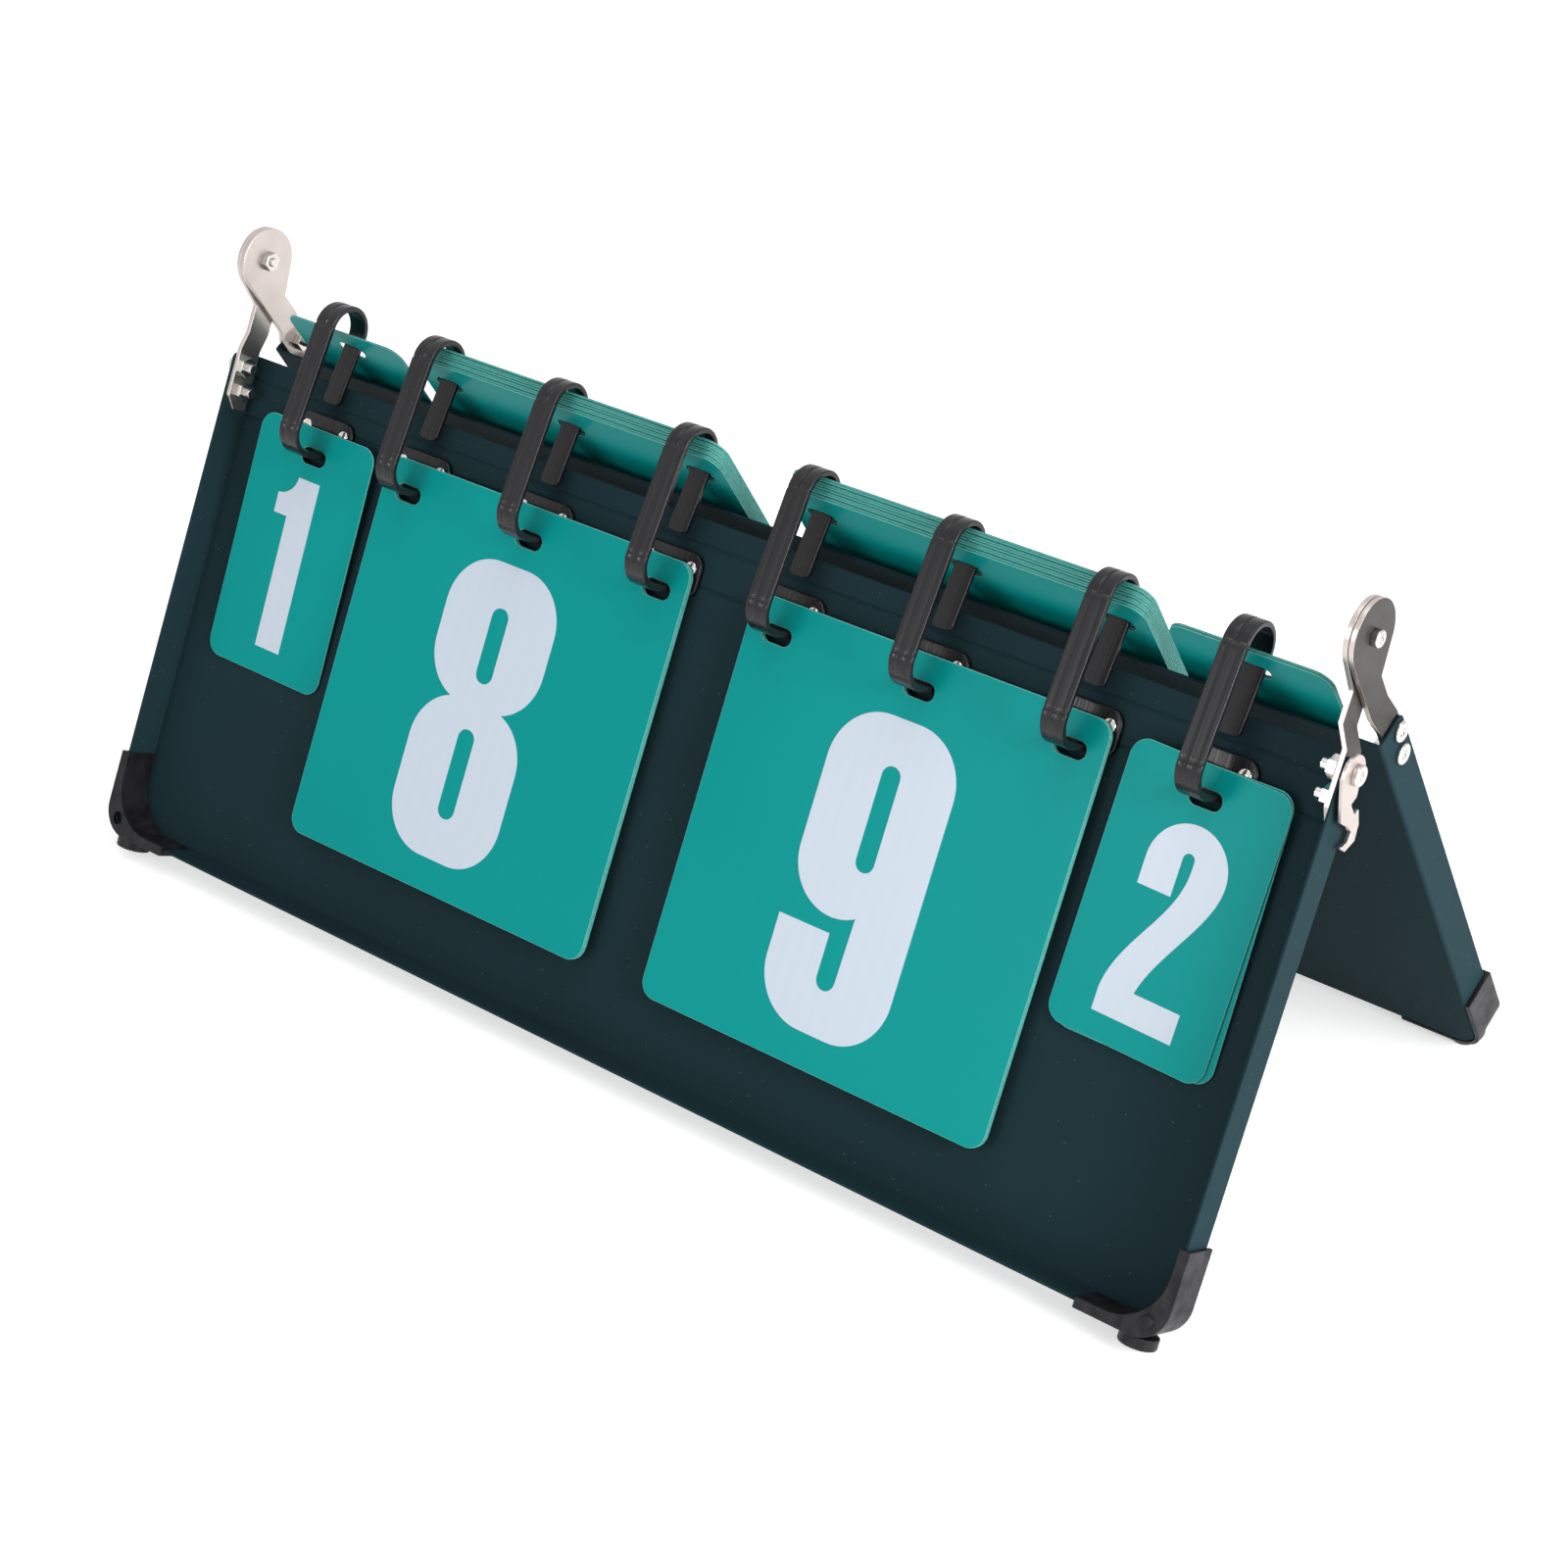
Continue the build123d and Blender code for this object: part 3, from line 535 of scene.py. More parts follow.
def strap_line():
    """Straight legs joined by arcs, centre + radius x (cos, sin), with the outward normal at each row."""
    rear_a, front_a = -np.pi / 2 - REAR_LEAN, np.pi / 2 - FRONT_LEAN
    rear_off = np.array([np.cos(rear_a), np.sin(rear_a)])
    front_off = np.array([np.cos(front_a), np.sin(front_a)])
    arch_a = np.unique(np.concatenate([np.linspace(rear_a, front_a, ARCH_STEPS), front_a - NEAR / ARCH_R]))
    bend_a = np.unique(np.concatenate([np.linspace(front_a, np.pi, BEND_STEPS), front_a + NEAR / BEND_R]))
    arch = ARCH + ARCH_R * np.column_stack([np.cos(arch_a), np.sin(arch_a)])
    bend = BEND + BEND_R * np.column_stack([np.cos(bend_a), np.sin(bend_a)])
    t = REAR_STOPS / np.linalg.norm(arch[0] - TIP)
    rear = TIP + t[:, None] * (arch[0] - TIP)
    leg = np.linalg.norm(bend[0] - arch[-1])
    rows = np.concatenate([NEAR, np.linspace(LEG_FREE, leg - LEG_FREE, LEG_STEPS), leg - NEAR[::-1]])
    front = arch[-1] + rows[:, None] / leg * (bend[0] - arch[-1])
    run_out = np.linspace(bend[-1, 1], FOOT_OUT, RUN_STEPS + 1)[1:]
    run = np.column_stack([np.full(RUN_STEPS, bend[-1, 0]), run_out])
    points = np.vstack([rear, arch, front, bend, run])
    out = np.vstack([np.tile(rear_off, (len(rear), 1)), (arch - ARCH) / ARCH_R,
                     np.tile(front_off, (len(front), 1)), (bend - BEND) / BEND_R,
                     np.tile((-1.0, 0.0), (len(run), 1))])
    length = np.concatenate([[0], np.cumsum(np.linalg.norm(np.diff(points, axis=0), axis=1))])
    arch_end = len(rear) + len(arch)
    return StrapLine(points, out, length, arch_from=length[len(rear)], arch_to=length[arch_end - 1],
                     bend_from=length[arch_end + len(front)])


line = strap_line()
print("strap is", round(float(line.length[-1]), 1), "mm long; its arch runs from",
      round(float(line.arch_from), 1), "to", round(float(line.arch_to), 1))

# %% Section of the strap
EDGE_R, CORNER_STEPS = 0.4, 4
ARCH_LINE, LEG_LINES = 0.0, (0.55, -0.38)      # places of the lengthwise lines, as shares of the half-width
# each line's distance off its middle and share of its depth
LINE_PROFILE = ((0.32, 0.0), (0.16, 0.75), (0.0, 1.0), (-0.16, 0.75), (-0.32, 0.0))


def strap_section():
    """Rounded rectangle: share of the half-width, fixed part, height, depth shares of arch and leg lines."""
    a = np.linspace(0, np.pi / 2, CORNER_STEPS + 1)
    corner = np.column_stack([np.cos(a), np.sin(a)])
    half_t = STRAP_T / 2 - EDGE_R
    rows = [(1, EDGE_R * (x - 1), half_t + EDGE_R * y, 0, 0) for x, y in corner]
    for share in sorted((ARCH_LINE, *LEG_LINES), reverse=True):
        arch_part = float(share == ARCH_LINE)
        for off, deep in LINE_PROFILE:
            rows.append((share, off, STRAP_T / 2, arch_part * deep, (1 - arch_part) * deep))
    rows += [(-1, -EDGE_R * (x - 1), half_t + EDGE_R * y, 0, 0) for x, y in corner[::-1]]
    rows += [(-1, -EDGE_R * (x - 1), -half_t - EDGE_R * y, 0, 0) for x, y in corner]
    rows += [(1, EDGE_R * (x - 1), -half_t - EDGE_R * y, 0, 0) for x, y in corner[::-1]]
    return np.array(rows)


print("the section has", len(strap_section()), "points")

# %% Grooves and lines of the strap
TIP_R, FULL_WIDTH_BELOW = 1.4, -10     # rounding of the tip's corners; the strap is full width below -10
ARCH_DEEP, LEG_DEEP, CROSS_DEEP, CROSS_WIDE, ARCH_STEP = 0.3, 0.14, 0.32, 0.4, 0.1
BEND_CROSS = 0.5                               # the cross line at the bend is this share as deep


def smoothstep(x, low, high):
    """3t^2 - 2t^3, with t going from 0 at low to 1 at high."""
    t = np.clip((x - low) / (high - low), 0, 1)
    return t * t * (3 - 2 * t)


def between(x, start, end, rise, fall):
    """1 from start to end, 0 outside; rise and fall say where each change begins and ends, off that place."""
    return smoothstep(x, start + rise[0], start + rise[1]) * (1 - smoothstep(x, end + fall[0], end + fall[1]))


def cross_line(x, at):
    """A narrow dip: e to the power -(distance / width)^2."""
    return np.exp(-((x - at) / CROSS_WIDE) ** 2)


print("groove of", ARCH_DEEP, "mm, leg lines of", LEG_DEEP, "mm and cross lines of", CROSS_DEEP, "mm")

# %% Surface of the strap


def strap_points():
    """Rows of line + normal x height, and across = share x half-width, less the rounding at the tip."""
    share, fixed, height, on_arch, on_leg = strap_section().T
    s = line.length
    back, front = ARCH[1] - ARCH_R - STRAP_T, ARCH[1] + ARCH_R
    half = np.interp(line.points[:, 1], [back, front], [REAR_WIDE / 2, FRONT_WIDE / 2])
    half[line.points[:, 0] < FULL_WIDTH_BELOW] = FRONT_WIDE / 2
    near = np.clip(TIP_R - s, 0, TIP_R)
    half = half - (TIP_R - np.sqrt(TIP_R ** 2 - near ** 2))
    arch_part = between(s, line.arch_from, line.arch_to, (-14, -13), (-0.8, -0.3))
    leg_part = between(s, line.arch_to, line.bend_from, (0.3, 0.8), (4, 6))
    cross = np.maximum(cross_line(s, line.arch_to), BEND_CROSS * cross_line(s, line.bend_from))
    step = ARCH_STEP * (1 - smoothstep(s, line.arch_to - 0.3, line.arch_to + 0.15))
    sink = (ARCH_DEEP * arch_part[:, None] * on_arch + LEG_DEEP * leg_part[:, None] * on_leg
            + (CROSS_DEEP * cross + step)[:, None] * (height > 0))
    high = height - sink
    across = share * half[:, None] + fixed
    up = line.points[:, :1] + line.out[:, :1] * high
    out = line.points[:, 1:] + line.out[:, 1:] * high
    return np.stack([across, up, out], -1)


strap_grid = strap_points()
print("a strap is a grid of", strap_grid.shape[0], "rows of", strap_grid.shape[1], "points")

# %% Foot plate
FOOT_WIDE, FOOT_HIGH, FOOT_T, FOOT_DOWN = 22.0, 12.6, 1.6, 16.0
FOOT_CORNER, FOOT_EDGE, FOOT_FLAT_FROM = 4.0, 0.45, 2.2
FOOT_SIDES, FOOT_EDGE_STEPS = 48, 6


def foot_plate():
    """Rounded rectangle: corner centre + radius x (cos, sin), its rows going up the rounded edge and in."""
    a = np.linspace(0, 2 * np.pi, FOOT_SIDES, endpoint=False) + np.pi / FOOT_SIDES
    middle_x = np.sign(np.cos(a)) * (FOOT_WIDE / 2 - FOOT_CORNER)
    middle_y = np.sign(np.sin(a)) * (FOOT_HIGH / 2 - FOOT_CORNER) - FOOT_DOWN
    b = np.linspace(0, np.pi / 2, FOOT_EDGE_STEPS)
    inset = np.concatenate([[0], FOOT_EDGE * (1 - np.cos(b)), [FOOT_FLAT_FROM]])
    level = np.concatenate([[0], FOOT_T - FOOT_EDGE + FOOT_EDGE * np.sin(b), [FOOT_T]])
    radius = FOOT_CORNER - inset[:, None]
    out = np.broadcast_to(SHEET + level[:, None], (len(level), len(a)))
    return np.stack([middle_x + radius * np.cos(a), middle_y + radius * np.sin(a), out], -1)


plate_grid = foot_plate()
print("a foot plate is", FOOT_WIDE, "x", FOOT_HIGH, "x", FOOT_T, "mm")

# %% Eight rings
RINGS_AT = (-156.7, -116.8, -69.1, -21.4, 21.4, 69.1, 116.8, 156.7)


def closed_grid(grid, start):
    """Points of a grid with the middles of its end rows, and the faces of its sides and of its two ends."""
    rows, cols = grid.shape[:2]
    count = rows * cols
    points = np.vstack([grid.reshape(-1, 3), grid[0].mean(0), grid[-1].mean(0)])
    return points, [grid_quads(rows, cols, start), closing_fan(start, cols, start + count, True),
                    closing_fan(start + count - cols, cols, start + count + 1, False)]


strap, strap_faces = closed_grid(strap_grid, 0)
plate, plate_faces = closed_grid(plate_grid, len(strap))
ring_faces = [block[:, ::-1] for block in strap_faces] + plate_faces      # the strap winds the other way
for number, at in enumerate(RINGS_AT, 1):
    points = carry(FRONT, np.vstack([strap, plate]) + (at, 0, 0))
    ring = make_piece("ring_%d" % number, points, ring_faces, [black["black_polypropylene_ring"]])
    seat(ring, "front_frame", "ring_plastic", "card_ring_%d" % number)

# %% [markdown]
# ## Rivets
# Two domed rivets hold each foot plate. A rivet is round, so its surface is a profile turned about its
# axis: radius times (cos, sin) for each height. All sixteen go into one mesh.

# %% Rivets
# radius and height off the back of the panel, from the middle of the dome to the flush tail
RIVET_PROFILE = np.array([(0.02, 2.9), (0.7, 2.88), (1.3, 2.78), (1.7, 2.62), (1.88, 2.5), (1.92, 2.4),
                          (1.2, 2.38), (1.2, 0.42), (1.88, 0.4), (1.9, 0.36), (1.9, 0.02), (1.86, 0.0),
                          (0.02, 0.0)])
RIVET_OFF, RIVET_DOWN, RIVET_SIDES = 7.5, 14.0, 24
angle = np.linspace(0, 2 * np.pi, RIVET_SIDES, endpoint=False)
height = np.broadcast_to(RIVET_PROFILE[:, 1:], (len(RIVET_PROFILE), RIVET_SIDES))
rivet = np.stack([RIVET_PROFILE[:, :1] * np.cos(angle), RIVET_PROFILE[:, :1] * np.sin(angle), height], -1)
centres = np.array([(at + off, -RIVET_DOWN, 0) for at in RINGS_AT for off in (-RIVET_OFF, RIVET_OFF)])
starts = range(0, len(centres) * height.size, height.size)
walls = [grid_quads(*height.shape, start=start)[:, ::-1] for start in starts]
domes = [np.arange(RIVET_SIDES)[None, :] + start for start in starts]
tails = [np.arange(height.size - RIVET_SIDES, height.size)[None, ::-1] + start for start in starts]
rivet_points = carry(FRONT, (centres[:, None, None, :] + rivet).reshape(-1, 3))
rivets = make_piece("rivets", rivet_points, walls + domes + tails, [screw])
seat(rivets, "front_frame", "rivet_metal", "ring_rivets")

# %% [markdown]
# ## Cutting sheets
# Cards and numerals are flat things with an outline. Blender fills a flat curve, gives it a thickness
# and rounds its edge, which is what a die cutter does, so one function turns outlines into a cut sheet.
# The outlines themselves are arrays: arcs, straight runs and smooth curves joined end to end.

# %% Outlines


def arc(u, v, ru, rv, start, end, steps=16):
    """Points u + ru cos a, v + rv sin a for angles from start to end in degrees; v grows upward."""
    a = np.radians(np.linspace(start, end, steps))
    return np.column_stack([u + ru * np.cos(a), v + rv * np.sin(a)])


def sweep(p0, p1, p2, p3, steps=24):
    """Cubic curve: the four points weighted by (1-t)^3, 3t(1-t)^2, 3t^2(1-t) and t^3."""
    t = np.linspace(0, 1, steps)[:, None]
    p0, p1, p2, p3 = np.array([p0, p1, p2, p3])
    return (1 - t) ** 3 * p0 + 3 * t * (1 - t) ** 2 * p1 + 3 * t * t * (1 - t) * p2 + t ** 3 * p3


def rounded_box(u0, u1, v0, v1, r, steps=10):
    """Closed outline of a rectangle with round corners, anticlockwise from the right-hand side."""
    return np.vstack([arc(u1 - r, v1 - r, r, r, 0, 90, steps), arc(u0 + r, v1 - r, r, r, 90, 180, steps),
                      arc(u0 + r, v0 + r, r, r, 180, 270, steps), arc(u1 - r, v0 + r, r, r, 270, 360, steps)])


print("a rounded box has", len(rounded_box(0, 2, 0, 1, 0.2)), "points")

# %% Cut sheets
FACES_UP, FACES_ACROSS = 0.97, 0.3      # a normal's upright part: more on the flats, less on the cut sides


def as_array(items, attribute):
    """A vector of each item, as an (n, 3) array."""
    values = np.zeros(len(items) * 3)
    items.foreach_get(attribute, values)
    return values.reshape(-1, 3)


def cut_sheet(outlines, thick, edge):
    """Points and faces of a sheet from height 0 down to -thick, and each face's part: 0 flat, 1 side, 2 rim.
    The filled curve is extruded by half the thickness each way, less the rounded edge."""
    curve = bpy.data.curves.new("outline", "CURVE")
    curve.dimensions, curve.fill_mode = "2D", "BOTH"
    curve.extrude, curve.bevel_depth, curve.bevel_resolution, curve.offset = thick / 2 - edge, edge, 1, -edge
    for outline in outlines:
        spline = curve.splines.new("POLY")
        spline.points.add(len(outline) - 1)
        flat = np.column_stack([outline, np.zeros(len(outline)), np.ones(len(outline))])
        spline.points.foreach_set("co", flat.ravel())
        spline.use_cyclic_u = True
    holder = bpy.data.objects.new("outline", curve)
    mesh = bpy.data.meshes.new_from_object(holder)
    points = as_array(mesh.vertices, "co") - (0, 0, thick / 2)
    faces = [list(face.vertices) for face in mesh.polygons]
    upright = np.abs(as_array(mesh.polygons, "normal")[:, 2])
    part = np.where(upright > FACES_UP, 0, np.where(upright < FACES_ACROSS, 1, 2)).astype(np.int32)
    bpy.data.objects.remove(holder)
    bpy.data.curves.remove(curve)
    return points, faces, part


print("a cut square has", len(cut_sheet([rounded_box(0, 20, 0, 20, 2)], 0.5, 0.1)[1]), "faces")

# %% [markdown]
# ## The cards
# A big card fills 115.8 x 115.7 mm and a small one 47.2 x 76.2 mm. Each has a slot for every ring. The
# shown card hangs on the front tray, others wait behind it, and the turned ones lie over the rear tray.
# Each card is the same cut sheet, carried to its own place.

# %% Card sizes and packs
CARD_T, CARD_EDGE, PITCH = 0.5, 0.1, 0.62          # PITCH from one card to the next in a pack
SLOT_DOWN, SLOT_HALF_WIDE, SLOT_R, SLOT_CORNER = 22.3, 5, 2.5, 2.49
Card = namedtuple("Card", "wide high top corner")  # top is below the tray's top edge
CARDS = {"big": Card(115.8, 115.7, 12.75, 5.0), "small": Card(47.2, 76.2, 13.8, 5.0)}
# at_top and at_bottom are how far out of the panel the shown card hangs, and twist turns it in its own plane
Pack = namedtuple("Pack", "middle size slots at_top at_bottom twist waiting turned")
PACKS = {
    "small_left": Pack(-156.7, "small", (0,), 4.5, 1.5, -0.5, 0, 1),
    "big_left": Pack(-69.1, "big", (-47.7, 0, 47.7), 4.9, 5.4, 0.0, 2, 8),
    "big_right": Pack(69.1, "big", (-47.7, 0, 47.7), 4.9, 5.4, 0.0, 2, 9),
    "small_right": Pack(156.7, "small", (0,), 4.5, 2.12, -1.8, 1, 2),
}


def card_outlines(size, slots):
    """Outer outline with its top edge at 0, and a long round-ended slot for each ring."""
    card = CARDS[size]
    low = SLOT_DOWN - card.top
    outer = rounded_box(-card.wide / 2, card.wide / 2, -card.high, 0, card.corner)
    return [outer] + [rounded_box(x - SLOT_HALF_WIDE, x + SLOT_HALF_WIDE, -low - SLOT_R, -low + SLOT_R,
                                  SLOT_CORNER) for x in slots]


print("cards:", sum(1 + pack.waiting + pack.turned for pack in PACKS.values()))

# %% Where each card hangs
TURNED_OUT, TURNED_LEAN = 3.7, 1.5      # the first turned card off the rear panel, and the pack's lean
RING_DROP, DROP_RATE = 8.2, 0.42        # slot below the arch's middle, and how much less a mm further out
UNEVEN, UNEVEN_TURN = 0.12, 2.4         # no two turned cards lie level: size in mm, and radians a card


def shown_tilt(pack):
    """Degrees between a shown card and the panel; its two ends' distances out differ by height x sine."""
    return np.degrees(np.arcsin((pack.at_top - pack.at_bottom) / CARDS[pack.size].high))


def shown_place(name, index):
    """Where the card of this index hangs on the front tray; only the shown one, 0, is twisted."""
    pack = PACKS[name]
    top = CARDS[pack.size].top
    low = SLOT_DOWN - top
    spin = shift(0, -low, 0) @ turn("z", pack.twist if index == 0 else 0) @ shift(0, low, 0)
    hang = shift(pack.middle, -top, pack.at_top) @ turn("x", shown_tilt(pack))
    return FRONT @ hang @ shift(0, 0, -index * PITCH) @ spin


def turned_place(name, index):
    """Where a turned card lies over the rear tray: about the rings' arch, leaning a little further out."""
    pack = PACKS[name]
    centre = np.linalg.inv(REAR) @ FRONT @ np.array([0, ARCH[0], ARCH[1], 1])
    off = TURNED_OUT + CARD_T / 2 + index * PITCH - centre[2]
    slot_to_top = SLOT_DOWN - CARDS[pack.size].top
    drop = RING_DROP - DROP_RATE * off - slot_to_top + UNEVEN * np.sin(UNEVEN_TURN * index)
    hang = shift(-pack.middle, centre[1], centre[2]) @ turn("x", -TURNED_LEAN)
    return REAR @ hang @ shift(0, -drop, off + CARD_T / 2)


print("shown cards tilt by", [round(float(shown_tilt(pack)), 1) for pack in PACKS.values()], "degrees")

# %% Lay every card


def lay_cards(name, pack, places):
    """One piece of several cards: the cut sheet repeated through each place's matrix."""
    points, faces, part = cut_sheet(card_outlines(pack.size, pack.slots), CARD_T, CARD_EDGE)
    stacked = np.vstack([carry(m, points) for m in places])
    blocks = [[[v + i * len(points) for v in face] for face in faces] for i in range(len(places))]
    return make_piece(name, stacked, blocks, card_faces, smooth=False,
                      material_index=np.tile(part, len(places)))


for name, pack in PACKS.items():
    shown = lay_cards("shown_" + name, pack, [shown_place(name, 0)])
    seat(shown, "shown_" + name, "card_sheet", "card_shown_" + name)
    if pack.waiting:
        behind = lay_cards("waiting_" + name, pack, [shown_place(name, i + 1) for i in range(pack.waiting)])
        seat(behind, "waiting_" + name, "card_sheet", "cards_waiting_" + name)
    over = lay_cards("turned_" + name, pack, [turned_place(name, i) for i in range(pack.turned)])
    seat(over, "turned_" + name, "card_sheet", "cards_turned_" + name)

# %% [markdown]
# ## The numerals
# Narrow, heavy numerals read well from across a hall. Each is drawn with a few arcs and smooth curves,
# measured from the middle of the card's top edge, and cut from film 0.06 mm thick that lies on the card.
# The cards are printed on both sides, so the outermost turned cards show the same score to the rear, and
# the first waiting card of a pack carries the next number, which shows when the card before it is lifted.

# %% Big numerals
EIGHT = [np.vstack([arc(3.2, -33.5, 15.4, 15.5, 0, 90), arc(-7.4, -33.5, 15.4, 15.5, 90, 180),
                    arc(-7.4, -44.6, 15.4, 15.5, 180, 253, 14), arc(-7.4, -74.2, 15.4, 15.5, 107, 180, 14),
                    arc(-7.4, -90.6, 15.4, 15.5, 180, 270), arc(3.2, -90.6, 15.4, 15.5, 270, 360),
                    arc(3.2, -74.2, 15.4, 15.5, 0, 73, 14), arc(3.2, -44.6, 15.4, 15.5, -73, 0, 14)]),
         rounded_box(-5.2, 1.0, -52.9, -30.6, 2.9), rounded_box(-5.2, 1.0, -93.6, -66.75, 2.9)]
NINE = [np.vstack([arc(4.0, -34.2, 16, 16, 0, 90), arc(-5.2, -34.2, 16, 16, 90, 180),
                   arc(-5.8, -59.0, 15.4, 15.4, 180, 300, 26),
                   arc(-1.45, -90.6, 3.0, 3.0, 360, 180), [(-4.45, -78.6), (-21.4, -78.6)],
                   arc(-5.4, -90.1, 16, 16, 180, 270), arc(4.0, -90.1, 16, 16, 270, 360)]),
        rounded_box(-3.3, 2.7, -60.2, -30.9, 2.9)]
ZERO = [np.vstack([arc(3.2, -33.5, 15.4, 15.5, 0, 90), arc(-7.4, -33.5, 15.4, 15.5, 90, 180),
                   arc(-7.4, -90.6, 15.4, 15.5, 180, 270), arc(3.2, -90.6, 15.4, 15.5, 270, 360)]),
        rounded_box(-5.2, 1.0, -93.6, -30.6, 2.9)]
print("points of a big eight:", sum(map(len, EIGHT)))

# %% Small numerals
ONE = [np.vstack([[(-3.6, -15.75), (5.2, -15.75), (5.2, -68.4), (-4.9, -68.4), (-4.9, -28.1), (-10.3, -28.1)],
                  arc(-10.3, -15.4, 6.7, 6.5, 270, 356)])]
TWO = [np.vstack([[(-10.4, -34.7)], arc(1.3, -27.2, 11.7, 11.8, 180, 0, 30),
                  sweep((13.0, -27.4), (13.0, -37.6), (1.0, -49.5), (-1.6, -61.1)),
                  [(12.3, -61.1), (12.3, -69.2), (-11.5, -69.2)],
                  sweep((-11.5, -63.0), (-10.2, -49.5), (2.9, -39.5), (2.9, -26.5)),
                  arc(1.2, -24.4, 1.7, 1.7, 0, 180, 12), [(-0.5, -34.7)]])]
THREE = [np.vstack([arc(0.7, -26.9, 12.2, 11.9, 180, 0, 30), arc(6.6, -34.5, 6.3, 6.3, 0, -60, 8),
                    arc(6.6, -49.6, 6.3, 6.3, 60, 0, 8), arc(0.7, -57.3, 12.2, 11.9, 0, -180, 30),
                    [(-11.5, -52.0), (-1.9, -52.0)], arc(0.75, -58.3, 2.65, 2.4, 180, 360, 14),
                    [(3.4, -48.6)], arc(0.4, -48.6, 3.0, 3.0, 0, 90, 8), [(-3.5, -45.6), (-3.5, -38.6)],
                    arc(0.4, -35.6, 3.0, 3.0, -90, 0, 8), arc(0.75, -26.2, 2.65, 2.4, 0, 180, 14),
                    [(-1.9, -32.5), (-11.5, -32.5)]])]
print("points of a small two:", sum(map(len, TWO)))

# %% Lay the numerals
FILM_T, FILM_EDGE = 0.06, 0.01


def lay_film(name, outlines, place, body):
    """A numeral cut from film and laid on the outer face of the card at this place."""
    points, faces, _ = cut_sheet(outlines, FILM_T, FILM_EDGE)
    film = make_piece(name, carry(place, points + (0, 0, FILM_T)), [faces], [ink], smooth=False)
    seat(film, body, "card_sheet")


for name, outlines in (("small_left", ONE), ("big_left", EIGHT), ("big_right", NINE), ("small_right", TWO)):
    lay_film("numeral_" + name, outlines, shown_place(name, 0), "shown_" + name)
    lay_film("rear_numeral_" + name, outlines, turned_place(name, PACKS[name].turned - 1), "turned_" + name)
for name, outlines in (("big_left", NINE), ("big_right", ZERO), ("small_right", THREE)):
    lay_film("next_numeral_" + name, outlines, shown_place(name, 1), "waiting_" + name)

# %% [markdown]
# ## Floor, light and camera
# The board stands on a pale sweep of paper under soft studio light: a large lamp to the right, weaker
# ones above and in front, and a pale room all round. The floor and the room are brighter for the rays
# that come from the camera, straight or by way of metal, which makes them white without more light on
# the board. The floor's glow is only a part of its light, so it keeps the board's shadow.

# %% Floor
FLOOR_HALF, FLOOR_GLOW = 6, 0.5


def looked_at(owner):
    """1 for rays of the camera, a mirror or glass, 0 for rays that only carry light: the largest of three."""
    path = add(owner, "LightPath")
    seen = path.outputs["Is Camera Ray"]
    for ray in ("Is Glossy Ray", "Is Transmission Ray"):
        seen = add(owner, "Math", [(0, seen), (1, path.outputs[ray])], operation="MAXIMUM").outputs[0]
    return seen


floor_mesh = bpy.data.meshes.new("floor")
corners = [(x * FLOOR_HALF, y * FLOOR_HALF, 0) for x, y in ((-1, -1), (1, -1), (1, 1), (-1, 1))]
floor_mesh.from_pydata(corners, [], [(0, 1, 2, 3)])
floor = into_scene("floor", floor_mesh)
paper, shader, _ = new_material("white_paper")
shader.inputs["Base Color"].default_value = linear("#F4F4F4")
shader.inputs["Roughness"].default_value = 0.9
shader.inputs["Emission Color"].default_value = (1, 1, 1, 1)
glow = add(paper, "Math", [(0, looked_at(paper))], [(1, FLOOR_GLOW)], operation="MULTIPLY")
join(paper, shader, Emission_Strength=glow.outputs[0])
floor_mesh.materials.append(paper)
floor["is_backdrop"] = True

# %% Room
ROOM_LIGHT, ROOM_SEEN = 0.47, 1.0
world = bpy.data.worlds.new("studio")
bpy.context.scene.world = world
world.use_nodes = True
background = world.node_tree.nodes["Background"]
background.inputs["Color"].default_value = (1, 1, 1, 1)
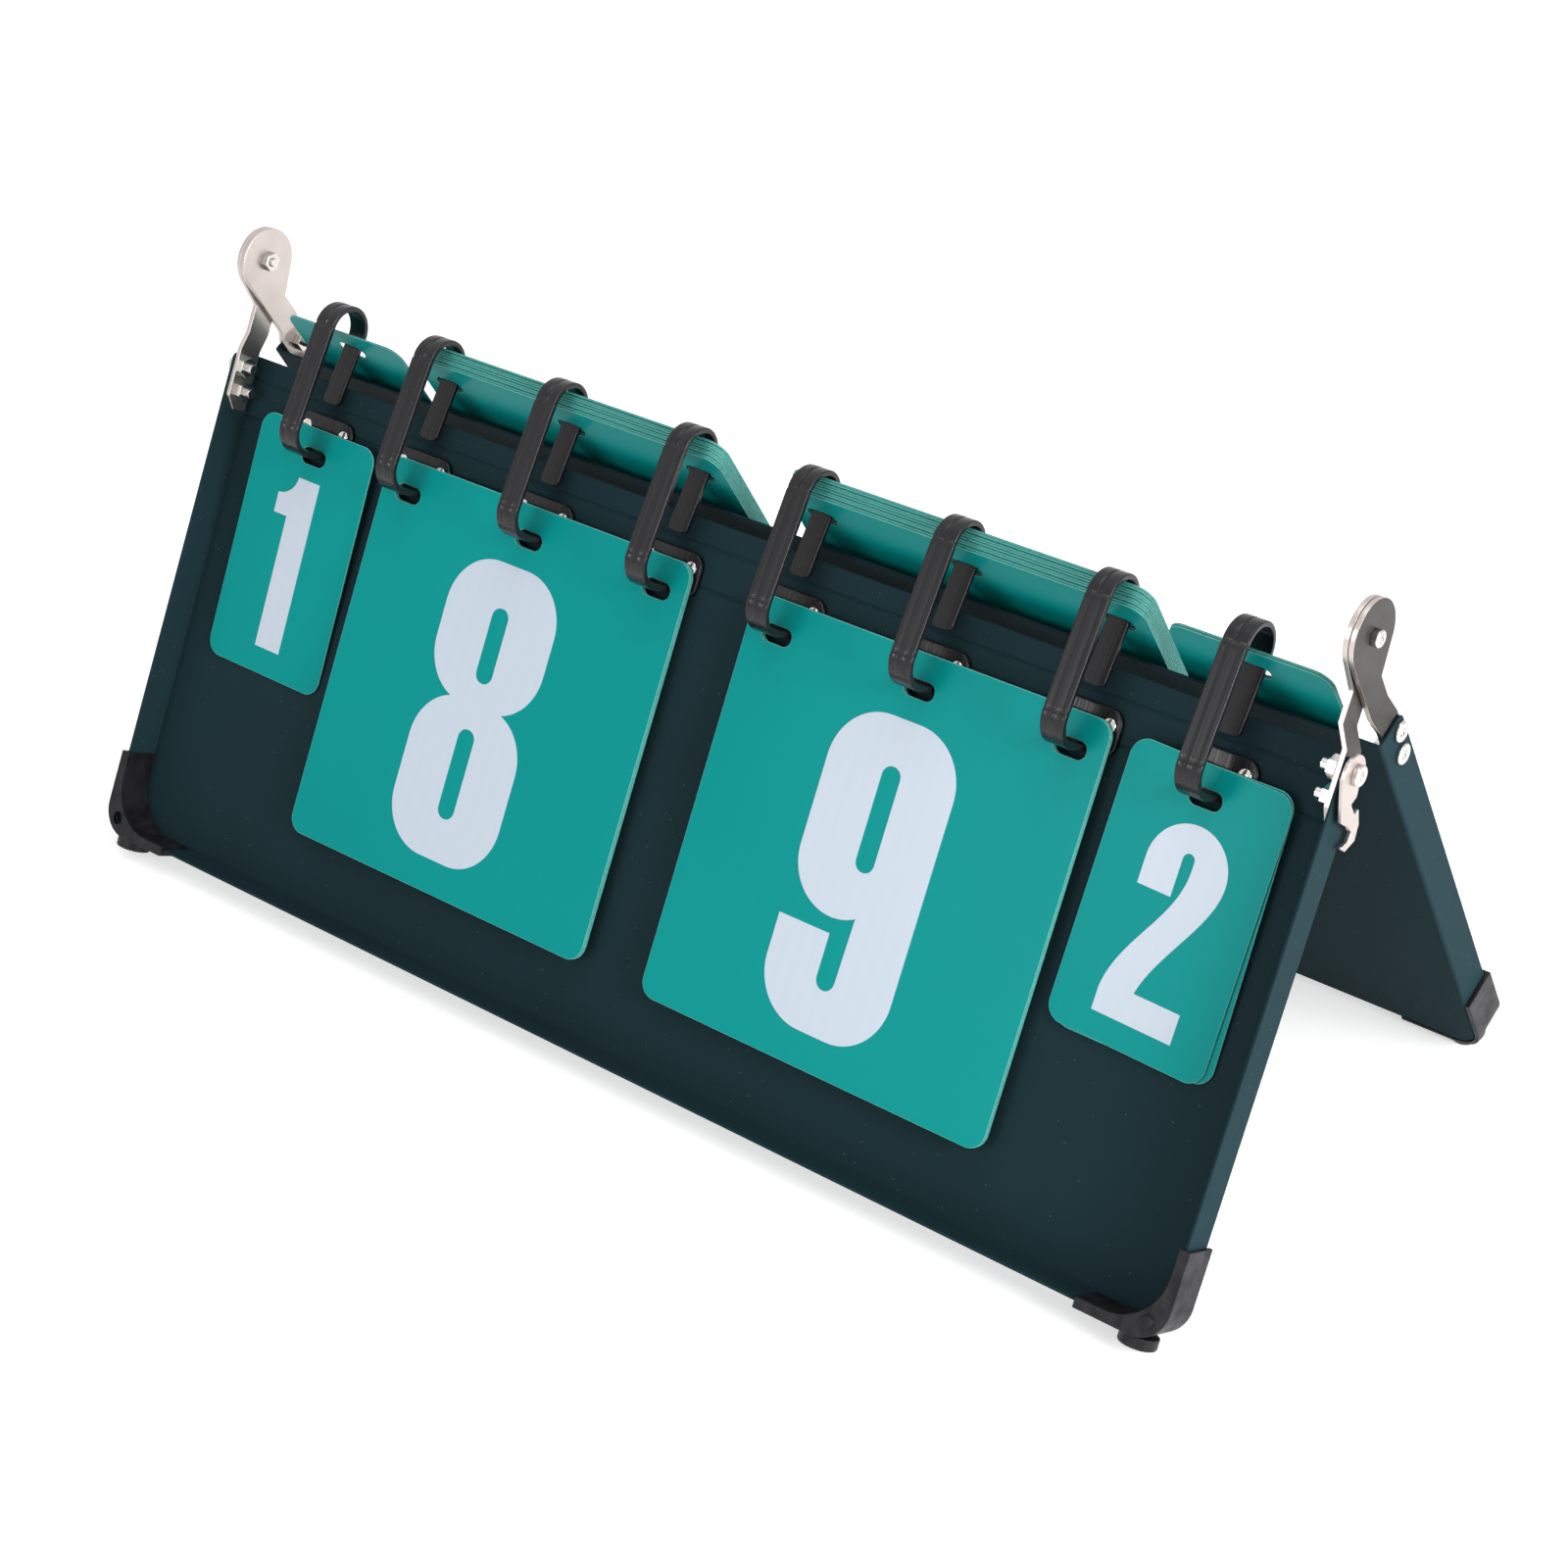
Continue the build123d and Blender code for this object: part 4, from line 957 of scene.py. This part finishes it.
level = add(world, "MapRange", [("Value", looked_at(world))], To_Min=ROOM_LIGHT, To_Max=ROOM_SEEN)
world.node_tree.links.new(level.outputs["Result"], background.inputs["Strength"])
print("the room gives", ROOM_LIGHT, "and shows as", ROOM_SEEN)

# %% Lamps
MIDDLE = (0, 0, 0.09)      # of the board, metres
LAMPS = {"right": ((1.4, -0.1, 0.5), 0.8, 26), "top": ((0.1, 0.1, 1.5), 0.9, 4),
         "front": ((-0.35, -1.35, 0.65), 0.45, 4.5)}      # place and size in metres, power in watts


def stand(holder, axes, place):
    """Give an object its axes, as columns, and its place."""
    rows = np.column_stack([axes, place]).tolist()
    holder.matrix_world = Matrix([*rows, [0, 0, 0, 1]])


for name, (place, size, power) in LAMPS.items():
    lamp = bpy.data.lights.new(name, "AREA")
    lamp.shape, lamp.size, lamp.energy = "SQUARE", size, power
    back = np.subtract(place, MIDDLE)      # an area lamp shines along its own -z, so its z points away
    back = back / np.linalg.norm(back)
    side = np.cross((0, 0, 1), back)
    side = side / np.linalg.norm(side)
    stand(into_scene(name, lamp), np.column_stack([side, np.cross(back, side), back]), place)
    print(name, "lamp,", power, "watts")

# %% Camera
EYE = (0.51781, -0.60997, 0.55571)
RIGHT, UP = np.array([0.7766, 0.62964, -0.02118]), np.array([-0.31946, 0.42255, 0.84817])
camera = bpy.data.cameras.new("camera")
camera.lens, camera.sensor_width = 76.1, 36.0
camera.shift_x, camera.shift_y = -0.00377, -0.00479
viewer = into_scene("camera", camera)
stand(viewer, np.column_stack([RIGHT, UP, np.cross(RIGHT, UP)]), EYE)
bpy.context.scene.camera = viewer
bpy.context.scene.view_settings.view_transform = "Standard"
print("camera", round(float(np.linalg.norm(np.subtract(EYE, MIDDLE))), 2), "m away, lens",
      round(camera.lens, 1), "mm")

# %% [markdown]
# ## Finish
# The dressed board should fill the same box as the built one; its box is printed here.

# %% Print the dressed box
low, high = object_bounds()
print("dressed box, mm:", [round(float(v) * 1000, 1) for v in (*low, *high)])
